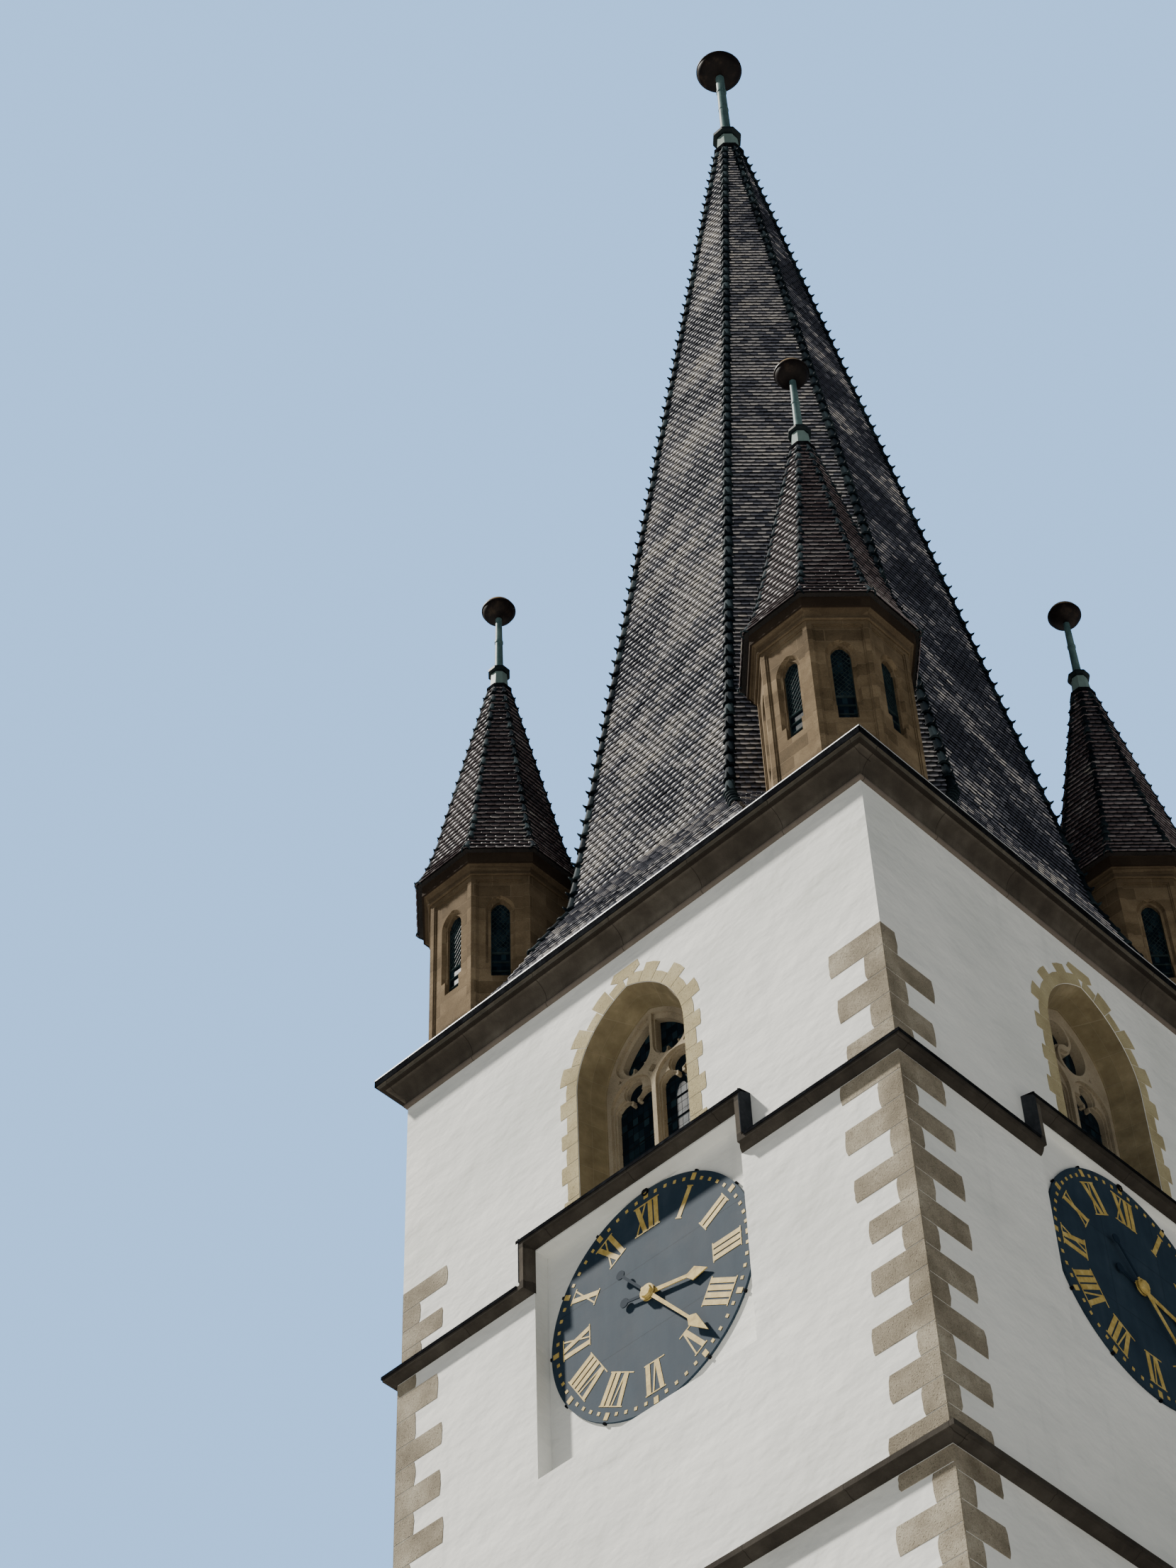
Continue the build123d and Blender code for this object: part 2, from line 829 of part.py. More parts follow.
for side in SIDES:
    hour_face = hand_plane(side, hour_level, hour_angle)
    with BuildPart() as hour_hand:
        with BuildSketch(hour_face):
            hand_outline(hour_length, hour_leaf, hour_width, hour_tail)
            Circle(hub_radius)
        extrude(amount=hand_plate)
        with BuildSketch(hour_face):
            Circle(hour_tube_radius)
        extrude(amount=-hour_level - dial_thickness - arbor_tail / 2)
        with BuildSketch(hour_face.offset(hand_plate)):
            Circle(minute_arbor_radius + arbor_fit)
        extrude(amount=-hand_plate - hour_level - dial_thickness - arbor_tail, mode=Mode.SUBTRACT)
    save(hour_hand.part, f"hour_hand_{side}")

    minute_face = hand_plane(side, minute_level, minute_angle)
    with BuildPart() as minute_hand:
        with BuildSketch(minute_face):
            hand_outline(minute_length, minute_leaf, minute_width, minute_tail)
            Circle(hub_radius)
        extrude(amount=hand_plate)
        with BuildSketch(minute_face.offset(hand_plate)):
            RegularPolygon(boss_radius, 8)
        extrude(amount=boss_height, taper=boss_taper)
        with BuildSketch(minute_face):
            Circle(minute_arbor_radius)
        extrude(amount=-minute_level - dial_thickness - arbor_tail)
    save(minute_hand.part, f"minute_hand_{side}")


# Corner turrets, each an octagon of eight stone sides with five lancets looking outwards
TURRETS = {
    "front_right": (1, -1, -45),
    "back_right": (1, 1, 45),
    "back_left": (-1, 1, 135),
    "front_left": (-1, -1, 225),
}


def turret_centre(corner):
    across, along, _ = TURRETS[corner]
    return Vector(across * turret_x, along * turret_y, cornice_top)


def turret_headings(corner):
    """Headings of a turret's eight sides, the first along its outward diagonal."""
    return [TURRETS[corner][2] + turn for turn in range(0, 360, 45)]


def facet_plane(corner, heading, depth=0):
    """Upright plane on one side of a turret, x to the right seen from outside, y up from its base."""
    outward = compass(turret_centre(corner), heading).x_dir
    origin = turret_centre(corner) + outward * (turret_apothem - depth)
    return Plane(origin=origin, x_dir=UP.cross(outward), z_dir=outward)


def lancet_headings(corner):
    return [TURRETS[corner][2] + facet for facet in LANCET_FACETS]


def lancet(half, rise=0):
    """Outline of a lancet, with its sill raised by a little for the outer order."""
    pointed_opening(half, lancet_sill + rise, lancet_sill + lancet_spring_height, lancet_centre)


def turret_wall_profile():
    """Wall from its inner face outwards, and over it a roll, a cavetto and the fascia of the cornice."""
    inner = turret_apothem - turret_wall
    outer = turret_apothem + turret_cornice_projection
    fascia_bottom = turret_top - turret_cornice_fascia
    cove_in = turret_apothem + turret_cornice_step
    cove_out = outer - turret_cornice_step
    cove_bottom = turret_drum + turret_cornice_roll
    hollow = sin(radians(45))
    with BuildLine() as outline:
        Polyline((inner, turret_top), (inner, 0), (turret_apothem, 0), (turret_apothem, turret_drum))
        ThreePointArc(
            (turret_apothem, turret_drum),
            (turret_apothem + turret_cornice_roll, turret_drum + turret_cornice_roll / 2),
            (cove_in, cove_bottom),
        )
        ThreePointArc(
            (cove_in, cove_bottom),
            (cove_out - (cove_out - cove_in) * hollow, cove_bottom + (fascia_bottom - cove_bottom) * hollow),
            (cove_out, fascia_bottom),
        )
        Polyline((cove_out, fascia_bottom), (outer, fascia_bottom), (outer, turret_top), (inner, turret_top))
    make_face(outline.edges())


def sunk_panel(margin):
    """Outline of a panel in one side of a turret, from its foot to under the cornice."""
    panel_top = turret_drum - panel_head - margin + panel_margin
    half = turret_apothem * tan(pi / 8) - margin
    Rectangle(2 * half, panel_top, align=(Align.CENTER, Align.MIN))


for corner in TURRETS:
    with BuildPart() as turret:
        centre = turret_centre(corner)
        for heading in turret_headings(corner):
            add(octagon_side(centre, heading, turret_wall_profile, 0, turret_top, turret_eaves))
        for heading in lancet_headings(corner):
            for step in (0, 1):
                with BuildSketch(facet_plane(corner, heading)):
                    sunk_panel(panel_margin + step * panel_step)
                extrude(amount=-(step + 1) * panel_sink, mode=Mode.SUBTRACT)
            with BuildSketch(facet_plane(corner, heading)):
                lancet(lancet_half - lancet_splay)
            extrude(amount=-2 * turret_wall, mode=Mode.SUBTRACT)
            with BuildSketch(facet_plane(corner, heading)):
                lancet(lancet_half, lancet_order_rise)
            with BuildSketch(facet_plane(corner, heading, lancet_order_depth)):
                lancet(lancet_half - lancet_order_splay, lancet_order_rise)
            loft(mode=Mode.SUBTRACT)
    save(turret.part, f"turret_{corner}")

with BuildPart() as turret_glass:
    for corner in TURRETS:
        for heading in lancet_headings(corner):
            with BuildSketch(facet_plane(corner, heading, lancet_depth + fit)):
                lancet(lancet_half - lancet_splay - fit)
            extrude(amount=-glass_thickness)
save(turret_glass.part, "turret_glass")


def turret_roof_profile():
    """Bellcast slope outside, and inside a plain one that keeps the shell's width above the upper bend."""
    tip_level = turret_top + turret_roof_height
    bend_apothem = turret_eaves - upper_bend_inset
    slope = (bend_apothem - turret_tip) / (turret_roof_height - upper_bend_level)
    Polygon(
        (bend_apothem + slope * upper_bend_level - turret_shell, turret_top),
        (turret_eaves, turret_top),
        (turret_eaves - lower_bend_inset, turret_top + lower_bend_level),
        (bend_apothem, turret_top + upper_bend_level),
        (turret_tip, tip_level),
        (turret_tip - turret_shell, tip_level),
        align=None,
    )


with BuildPart() as turret_roofs:
    for corner in TURRETS:
        for heading in turret_headings(corner):
            roof_side = octagon_side(
                turret_centre(corner),
                heading,
                turret_roof_profile,
                turret_top,
                turret_top + turret_roof_height,
                turret_eaves,
            )
            add(roof_side)
save(turret_roofs.part, "turret_roofs")


# Spire: eight sides, and under them a skirt in twelve pieces that spreads between the turrets
axis = Vector(0, 0, cornice_top)
spire_joint = skirt_height + skirt_neck


def spire_apothem(level):
    return spire_tip + spire_slope * (spire_height - level)


def spire_profile():
    bottom = spire_joint + joint
    Polygon(
        (spire_apothem(bottom) - spire_shell, bottom),
        (spire_apothem(bottom), bottom),
        (spire_tip, spire_height),
        (spire_tip - spire_shell, spire_height),
        align=None,
    )


# Room that the roof leaves for the four turrets
with BuildPart() as turret_room:
    for corner in TURRETS:
        with BuildSketch(Plane(origin=turret_centre(corner))):
            regular_octagon(turret_apothem + fit)
    extrude(amount=turret_drum)


# Rings of the skirt: level, how far its sides stand out from the walls and run past the turrets
skirt_rings = (
    (0, cornice_projection - skirt_edge_gap, skirt_tuck),
    (skirt_lower_level, skirt_lower_out, skirt_lower_flat),
    (skirt_upper_level, skirt_upper_out, skirt_upper_flat),
)

with BuildPart() as skirt:
    for level, out, past in skirt_rings:
        past_x = turret_x - turret_apothem + past
        past_y = turret_y - turret_apothem + past
        with BuildSketch(Plane.XY.offset(cornice_top + level)):
            octagon(half_x + out, half_y + out, past_x, past_y)
    for level in (skirt_height, spire_joint):
        with BuildSketch(Plane.XY.offset(cornice_top + level)):
            regular_octagon(spire_apothem(level))
    loft(ruled=True)
    for level in (0, spire_joint):
        with BuildSketch(Plane.XY.offset(cornice_top + level)):
            regular_octagon(spire_apothem(level) - spire_shell)
    loft(ruled=True, mode=Mode.SUBTRACT)
    add(turret_room.part, mode=Mode.SUBTRACT)


def skirt_piece(heading, half_angle):
    with BuildPart() as piece:
        add(skirt.part)
        with BuildSketch(compass(axis, heading)):
            sector(half_angle, 2 * half_y)
        extrude(amount=spire_joint, mode=Mode.INTERSECT)
    return piece.part


with BuildPart() as spire_roof:
    for quarter in range(0, 360, 90):
        add(skirt_piece(quarter, 22.5))
        add(skirt_piece(quarter + 33.75, 11.25))
        add(skirt_piece(quarter + 56.25, 11.25))
    for heading in range(0, 360, 45):
        add(octagon_side(axis, heading, spire_profile, spire_joint + joint, spire_height, half_y))
    add(turret_room.part, mode=Mode.SUBTRACT)
save(spire_roof.part, "spire_roof")


# Finials: an octagonal neck on the roof's tip, a moulded collar, a ringed pole and a flattened ball
def collar_band(base, collar, level, height, step):
    """Octagonal collar with a plain core, and round it a band with sloping edges."""
    core = collar - 2 * step
    with BuildPart() as band:
        with BuildSketch(base.offset(level)):
            regular_octagon(core)
        extrude(amount=height)
        for lower, upper in zip(COLLAR_RINGS, COLLAR_RINGS[1:]):
            for share, out in (lower, upper):
                with BuildSketch(base.offset(level + share * height)):
                    regular_octagon(core + 2 * step * out)
            loft(ruled=True)
    return band.part


def ringed_pole(base, foot, top, radius, rings, ball, ball_rise):
    """Turned pole with rings, and a ball with a lip round its middle and a small flat crown."""
    upright = Plane(origin=base.origin, x_dir=(1, 0, 0), z_dir=(0, -1, 0))
    crown_level = ball_rise * sqrt(1 - (ball_crown / ball) ** 2)
    with BuildPart() as turned:
        with BuildSketch(upright):
            Polygon((0, foot), (radius + pole_flare, foot), (radius, top), (0, top), align=None)
            for share in rings:
                with Locations((0, foot + share * (top - ball_rise - foot))):
                    Rectangle(radius + ring_proud, ring_height, align=(Align.MIN, Align.CENTER))
            with Locations((0, top)):
                Ellipse(ball, ball_rise)
                Rectangle(ball + lip_proud, lip_height, align=(Align.MIN, Align.CENTER))
                Rectangle(2 * ball, 4 * ball_rise, align=(Align.MAX, Align.CENTER), mode=Mode.SUBTRACT)
            with Locations((0, top + crown_level)):
                Rectangle(2 * ball, ball_rise, align=(Align.MIN, Align.MIN), mode=Mode.SUBTRACT)
        revolve(axis=Axis(base.origin, (0, 0, 1)))
    return turned.part


def finial_neck(base, foot, top, height):
    with BuildPart() as neck:
        with BuildSketch(base):
            regular_octagon(foot)
        with BuildSketch(base.offset(height)):
            regular_octagon(top)
        loft(ruled=True)
    return neck.part


with BuildPart() as turret_finials:
    for corner in TURRETS:
        tip = compass(turret_centre(corner), 0, turret_top + turret_roof_height)
        pole_foot = turret_collar_level + turret_collar_height
        top = turret_ball_level
        add(finial_neck(tip, turret_tip, turret_neck_top, turret_collar_level))
        add(collar_band(tip, turret_collar, turret_collar_level, turret_collar_height, turret_collar_step))
        add(ringed_pole(tip, pole_foot, top, turret_pole, TURRET_RINGS, turret_ball, turret_ball_rise))
save(turret_finials.part, "turret_finials")

with BuildPart() as spire_finial:
    tip = compass(axis, 0, spire_height)
    pole_foot = spire_collar_level + spire_collar_height
    add(finial_neck(tip, spire_tip, spire_neck_top, spire_collar_level))
    add(collar_band(tip, spire_collar, spire_collar_level, spire_collar_height, spire_collar_step))
    add(ringed_pole(tip, pole_foot, spire_ball_level, spire_pole, SPIRE_RINGS, spire_ball, spire_ball_rise))
save(spire_finial.part, "spire_finial")
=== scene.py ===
import json
import math
import bmesh
import bpy
import numpy as np
from mathutils import Matrix, Vector


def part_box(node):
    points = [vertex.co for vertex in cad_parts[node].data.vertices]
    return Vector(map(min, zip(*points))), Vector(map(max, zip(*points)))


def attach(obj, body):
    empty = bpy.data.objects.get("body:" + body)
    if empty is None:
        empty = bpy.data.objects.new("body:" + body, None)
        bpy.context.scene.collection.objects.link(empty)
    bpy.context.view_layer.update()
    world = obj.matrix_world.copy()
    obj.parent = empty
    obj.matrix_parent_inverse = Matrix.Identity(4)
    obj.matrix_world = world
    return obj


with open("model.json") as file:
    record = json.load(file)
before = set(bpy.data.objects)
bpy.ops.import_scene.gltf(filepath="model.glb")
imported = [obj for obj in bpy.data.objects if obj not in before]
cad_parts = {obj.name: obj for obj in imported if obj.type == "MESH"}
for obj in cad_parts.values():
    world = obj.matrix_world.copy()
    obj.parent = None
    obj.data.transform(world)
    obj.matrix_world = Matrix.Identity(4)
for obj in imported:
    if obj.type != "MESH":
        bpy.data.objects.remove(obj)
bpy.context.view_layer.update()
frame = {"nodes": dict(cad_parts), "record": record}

rng = np.random.default_rng(7)
UP = Vector((0, 0, 1))

# Sizes read from the frame, in metres
half_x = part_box("belfry_wall_right")[1].x
half_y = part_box("belfry_wall_back")[1].y
shaft_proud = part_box("shaft_wall_right")[1].x - half_x
belfry_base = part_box("belfry_wall_front")[0].z
cornice_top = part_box("main_cornice")[1].z
cornice_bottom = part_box("main_cornice")[0].z
cornice_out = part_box("main_cornice")[1].x - half_x
string_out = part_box("clock_string_course_right")[1].x - half_x
string_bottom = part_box("clock_string_course_front")[0].z
lower_string_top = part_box("lower_string_course")[1].z
lower_string_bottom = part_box("lower_string_course")[0].z
plinth_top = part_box("plinth")[1].z
spire_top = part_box("spire_roof")[1].z
turret_low, turret_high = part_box("turret_front_right")
turret_x = (turret_low.x + turret_high.x) / 2
turret_y = -(turret_low.y + turret_high.y) / 2
turret_top = turret_high.z
turret_roof_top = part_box("turret_roofs")[1].z
turret_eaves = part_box("turret_roofs")[1].x - turret_x

# Sizes of the string course, windows and dials that no box gives
string_height = 0.1
string_top = string_bottom + string_height
string_slope = 0.025
string_leg = 1.11
window_half = 0.55
window_spring = belfry_base + 1.15
window_centre = 0.25
window_inner_half = 0.48
glass_depth = 0.3406
dial_radius = 0.965
dial_level = belfry_base - 1.084
dial_depths = {"front": 0.1, "right": 0.03, "back": 0.1, "left": 0.03}
hand_angles = {"hour": 101.75, "minute": 141}
slit_levels = (6.75, 10.55)
slit_half = 0.06
slit_height = 0.7
slit_splay = 0.07

# Sizes of the turrets and the spire that no box gives
turret_apothem = 0.591
turret_tip = 0.088
turret_bends = ((0, turret_eaves), (0.23, turret_eaves - 0.09), (0.51, turret_eaves - 0.16))
turret_ball_level = 1.255
lancet_inner_half = 0.08
lancet_depth = 0.08
lancet_sill = 0.645
lancet_spring = 1.44
spire_tip = 0.128
spire_gap = 0.0086
spire_ball_level = 2.08
skirt_height = 1.1
skirt_rings = ((0, cornice_out - 0.007, 0.1), (0.27, 0.015, -0.01), (0.6, -0.125, -0.18))

# The four sides: turn from the front, half-width of the wall, distance of its face from the axis
SIDES = {
    "front": (0, half_x, half_y),
    "right": (90, half_y, half_x),
    "back": (180, half_x, half_y),
    "left": (270, half_y, half_x),
}
TURRETS = {"front_right": (1, -1), "back_right": (1, 1), "back_left": (-1, 1), "front_left": (-1, -1)}
HEADINGS = ("front", "front_right", "right", "back_right", "back", "back_left", "left", "front_left")


class Value:
    """A socket of a material. Arithmetic on it adds Math nodes."""

    def __init__(self, graph, socket):
        self.graph = graph
        self.socket = socket

    def math(self, operation, *others):
        return self.graph.add("Math", [self, *others], operation=operation)

    def __add__(self, other):
        return self.math("ADD", other)

    def __sub__(self, other):
        return self.math("SUBTRACT", other)

    def __rsub__(self, other):
        return self.graph.add("Math", [other, self], operation="SUBTRACT")

    def __mul__(self, other):
        return self.math("MULTIPLY", other)

    def __truediv__(self, other):
        return self.math("DIVIDE", other)

    def __abs__(self):
        return self.math("ABSOLUTE")

    def __mod__(self, other):
        return self.math("FLOORED_MODULO", other)

    def __gt__(self, other):
        return self.math("GREATER_THAN", other)

    def __lt__(self, other):
        return self.math("LESS_THAN", other)

    __radd__ = __add__
    __rmul__ = __mul__

    def floor(self):
        return self.math("FLOOR")

    def least(self, other):
        return self.math("MINIMUM", other)

    def most(self, other):
        return self.math("MAXIMUM", other)

    def ramp(self, low, high):
        """0 at low, 1 at high, smooth between."""
        inputs = {"Value": self, "From Min": low, "From Max": high}
        return self.graph.add("MapRange", inputs, interpolation_type="SMOOTHSTEP")


class Finish:
    """A material in the making: a Principled shader and the nodes that feed it."""

    def __init__(self, name, specular=0.5, **settings):
        self.material = bpy.data.materials.new(name)
        self.material.use_nodes = True
        self.tree = self.material.node_tree
        self.shader = self.tree.nodes["Principled BSDF"]
        self.feed(self.shader, {"Specular IOR Level": specular, **settings})
        self.place = self.add("TexCoord", output="Object")

    def feed(self, node, inputs):
        """Links or sets the sockets of a node, given by name or in their order."""
        pairs = inputs.items() if isinstance(inputs, dict) else enumerate(inputs)
        for key, value in pairs:
            if isinstance(value, Value):
                self.tree.links.new(value.socket, node.inputs[key])
            elif isinstance(node.inputs[key].default_value, float):
                node.inputs[key].default_value = value
            elif len(value) < len(node.inputs[key].default_value):
                node.inputs[key].default_value = (*value, 1)
            else:
                node.inputs[key].default_value = value

    def add(self, kind, inputs=(), output=0, stops=None, **settings):
        """Adds a node: its settings first, then what its sockets hold or are linked to."""
        node = self.tree.nodes.new("ShaderNode" + kind)
        for name, value in settings.items():
            setattr(node, name, value)
        if stops:
            while len(node.color_ramp.elements) < len(stops):
                node.color_ramp.elements.new(0.5)
            for element, (place, colour) in zip(node.color_ramp.elements, stops):
                element.position = place
                element.color = (*colour, 1)
        self.feed(node, inputs)
        return Value(self, node.outputs[output])

    def split(self, vector):
        """The three parts of a vector."""
        node = self.tree.nodes.new("ShaderNodeSeparateXYZ")
        self.feed(node, [vector])
        return [Value(self, socket) for socket in node.outputs]

    def xyz(self):
        return self.split(self.place)

    def vector(self, x, y, z):
        return self.add("CombineXYZ", [x, y, z])

    def attribute(self, name):
        return self.add("Attribute", output="Fac", attribute_name=name)

    def chance(self, **inputs):
        """A random number for each whole number W, or for each cell of a Vector."""
        return self.add("TexWhiteNoise", inputs, noise_dimensions="1D" if "W" in inputs else "3D")

    def noise(self, scale, detail, rough, stretch=None):
        place = self.place
        if stretch:
            place = self.add("VectorMath", [place, stretch], operation="MULTIPLY")
        inputs = {"Vector": place, "Scale": scale, "Detail": detail, "Roughness": rough}
        return self.add("TexNoise", inputs, output="Fac")

    def spots(self, scale):
        return self.add("TexVoronoi", {"Vector": self.place, "Scale": scale})

    def ashlar(self, place, length, height, joint):
        """Blocks in courses: a tone for each block, and a mask of the joints."""
        inputs = {
            "Vector": place, "Scale": 1.0, "Brick Width": length, "Row Height": height,
            "Mortar Size": joint, "Mortar Smooth": 0.2,
            "Color1": (0, 0, 0), "Color2": (1, 1, 1), "Mortar": (0.5, 0.5, 0.5),
        }
        blocks = self.add("TexBrick", inputs)
        joints = Value(self, blocks.socket.node.outputs["Fac"])
        return self.add("SeparateColor", [blocks]), joints

    def blend(self, factor, first, second):
        return self.add("Mix", {0: factor, 6: first, 7: second}, output=2, data_type="RGBA")

    def colours(self, value, stops):
        return self.add("ValToRGB", [value], stops=stops)

    def tones(self, value, palette, places=(0.3, 0.5, 0.7)):
        """The dark, middle and light tones of a palette, spread over a value."""
        return self.colours(value, list(zip(places, palette)))

    def finish(self, colour, roughness, height=None, distance=0.002):
        """Feeds the shader its colour, roughness and relief, and hands the material over."""
        self.feed(self.shader, {"Base Color": colour, "Roughness": roughness})
        if height is not None:
            bump = self.add("Bump", {"Height": height, "Distance": distance, "Strength": 1.0})
            self.feed(self.shader, {"Normal": bump})
        return self.material


# Colours, from the dark to the light tone of each finish
PLASTER = ((0.63, 0.64, 0.61), (0.74, 0.74, 0.71), (0.80, 0.80, 0.77))
REVEAL_STONE = ((0.13, 0.10, 0.05), (0.22, 0.175, 0.095), (0.34, 0.28, 0.165))
MOULDING_STONE = ((0.034, 0.029, 0.024), (0.078, 0.067, 0.054), (0.145, 0.128, 0.105))
FASCIA_STONE = ((0.060, 0.053, 0.042), (0.105, 0.094, 0.076), (0.165, 0.15, 0.125))
TURRET_STONE = ((0.066, 0.047, 0.026), (0.155, 0.112, 0.066), (0.28, 0.21, 0.128))
TRACERY_STONE = ((0.18, 0.145, 0.098), (0.31, 0.255, 0.175), (0.42, 0.36, 0.26))
QUOIN_STONE = ((0.105, 0.086, 0.058), (0.25, 0.215, 0.158), (0.46, 0.415, 0.325))
SURROUND_STONE = ((0.26, 0.215, 0.115), (0.40, 0.34, 0.195), (0.50, 0.44, 0.28))
FLOOR_STONE = ((0.15, 0.14, 0.12), (0.25, 0.24, 0.21), (0.36, 0.34, 0.30))
# Boards under the roof's tiles, painted nearly black as the shade between the tiles
BOARDING_SHADE = ((0.01, 0.009, 0.009), (0.02, 0.018, 0.017), (0.035, 0.03, 0.028))
VERDIGRIS = ((0.022, 0.048, 0.052), (0.062, 0.115, 0.118), (0.16, 0.24, 0.225))
OLD_GOLD = ((0.10, 0.062, 0.032), (0.26, 0.175, 0.09), (0.50, 0.36, 0.20))
# Painted shade for the undersides of the finials' balls
BALL_UNDERSIDE_SHADE = ((0.003, 0.0025, 0.003), (0.009, 0.0065, 0.006), (0.05, 0.034, 0.022))
PANES = ((0.003, 0.006, 0.010), (0.006, 0.013, 0.020), (0.014, 0.030, 0.040))
DIAL_BLUE = ((0.014, 0.026, 0.042), (0.021, 0.037, 0.056), (0.033, 0.052, 0.073))
GILT = ((0.30, 0.20, 0.05), (0.47, 0.34, 0.10), (0.62, 0.48, 0.19))
OAK = ((0.03, 0.016, 0.009), (0.065, 0.036, 0.02), (0.12, 0.075, 0.045))
PINE = ((0.06, 0.035, 0.02), (0.12, 0.08, 0.05), (0.2, 0.14, 0.09))
BLACK_SHEET = ((0.003, 0.003, 0.004), (0.007, 0.0075, 0.009), (0.018, 0.02, 0.023))
SLATE_SHEET = ((0.015, 0.017, 0.02), (0.03, 0.033, 0.038), (0.055, 0.06, 0.066))
# Pale metal for the cornice's rim, a painted highlight on the top edge of the black sheet
RIM_HIGHLIGHT_SHEET = ((0.30, 0.31, 0.32), (0.42, 0.43, 0.44), (0.55, 0.56, 0.57))
LEAD = ((0.010, 0.016, 0.018), (0.022, 0.034, 0.036), (0.045, 0.065, 0.066))
ROOF_TILES = (
    (0.0, (0.006, 0.008, 0.022)), (0.25, (0.036, 0.042, 0.072)), (0.42, (0.17, 0.175, 0.22)),
    (0.58, (0.55, 0.52, 0.53)), (0.8, (0.78, 0.72, 0.67)), (1.0, (0.84, 0.76, 0.64)),
)
TURRET_TILES = (
    (0.0, (0.018, 0.016, 0.026)), (0.25, (0.07, 0.046, 0.050)), (0.45, (0.15, 0.115, 0.12)),
    (0.65, (0.25, 0.22, 0.225)), (0.84, (0.36, 0.33, 0.29)), (1.0, (0.48, 0.42, 0.34)),
)
RIDGE_TILES = ((0.0, (0.003, 0.005, 0.008)), (0.5, (0.007, 0.012, 0.016)), (1.0, (0.024, 0.036, 0.041)))


# Materials

plaster_skin = 0.004
splashed_top = 2.6
splashed_fade = 2.2
slit_zone_top = dial_level - 1.2
reveal_course = 0.22
reveal_block = 0.12
reveal_bed_joint = 0.006
reveal_cross_joint = 0.004


def lime_plaster():
    """Off-white lime plaster, trowelled by hand, with grey runs; the reveals are bare stone."""
    plaster = Finish("lime_plaster")
    x, y, z = plaster.xyz()
    patches = plaster.noise(0.7, 6, 0.6)
    trowel = plaster.noise(2.6, 3, 0.5, stretch=(1, 1, 1.7))
    grain = plaster.noise(30, 3, 0.6)
    runs = plaster.noise(2.2, 5, 0.6, stretch=(3, 3, 0.25))
    colour = plaster.tones(patches, PLASTER, (0.3, 0.52, 0.75))
    colour = plaster.blend(runs.ramp(0.55, 0.8) * 0.28, colour, (0.48, 0.49, 0.48))
    splashed = (splashed_top - z).ramp(0, splashed_fade) * trowel.ramp(0.35, 0.7)
    colour = plaster.blend(splashed * 0.4, colour, (0.36, 0.34, 0.29))
    behind = (abs(x) - half_x).most(abs(y) - half_y)
    window = (z > belfry_base) * (behind < -plaster_skin)
    slit = (z < slit_zone_top) * (behind < shaft_proud - plaster_skin)
    in_reveal = window.most(slit)
    bare, joint = reveal_stone(plaster, z, behind)
    colour = plaster.blend(in_reveal, colour, bare)
    height = trowel * 0.8 + grain * 0.05 + patches * 0.6 - joint * in_reveal * 0.1
    return plaster.finish(colour, 0.95, height, 0.028)


def reveal_stone(plaster, z, behind):
    """Colour and joints of the yellow stones in the reveals of the windows."""
    level = z - belfry_base
    cloud = plaster.noise(4, 6, 0.65)
    bare = plaster.tones(cloud, REVEAL_STONE, (0.3, 0.55, 0.75))
    tone = plaster.chance(W=(level / reveal_course).floor() + (behind / reveal_block).floor() * 7)
    bare = plaster.blend(tone * 0.35, bare, (0.11, 0.085, 0.045))
    joint = (level % reveal_course < reveal_bed_joint).most(behind % reveal_block < reveal_cross_joint)
    return plaster.blend(joint * 0.2, bare, (0.36, 0.31, 0.2)), joint


def pitted_stone(name, palette):
    """Sandstone with clouds of colour, fine grain and open pits."""
    stone = Finish(name, 0.2)
    cloud = stone.noise(2.7, 6, 0.6)
    grain = stone.noise(81, 5, 0.7)
    pitted = stone.spots(54).ramp(0.05, 0.3)
    colour = stone.tones(cloud * 0.65 + grain * 0.35, palette)
    colour = stone.blend((1 - pitted) * 0.5, colour, palette[0])
    return stone.finish(colour, 0.95, pitted * 0.5 + grain * 0.6, 0.01)


moulding_length = 0.83
moulding_joint = 0.006
bead_top = cornice_bottom + 0.050
bead_groove = 0.004
cove_foot = cornice_top - 0.22
cove_head = cornice_top - 0.098
fascia_groove = 0.003
fascia_foot = cornice_top - 0.096
# The zone of the string courses, and in it the upright legs that the sheet doesn't shade
strings_foot = lower_string_bottom - 0.01
strings_head = cornice_bottom - 0.5
legs_foot = string_top + 0.004
legs_head = belfry_base - 0.105


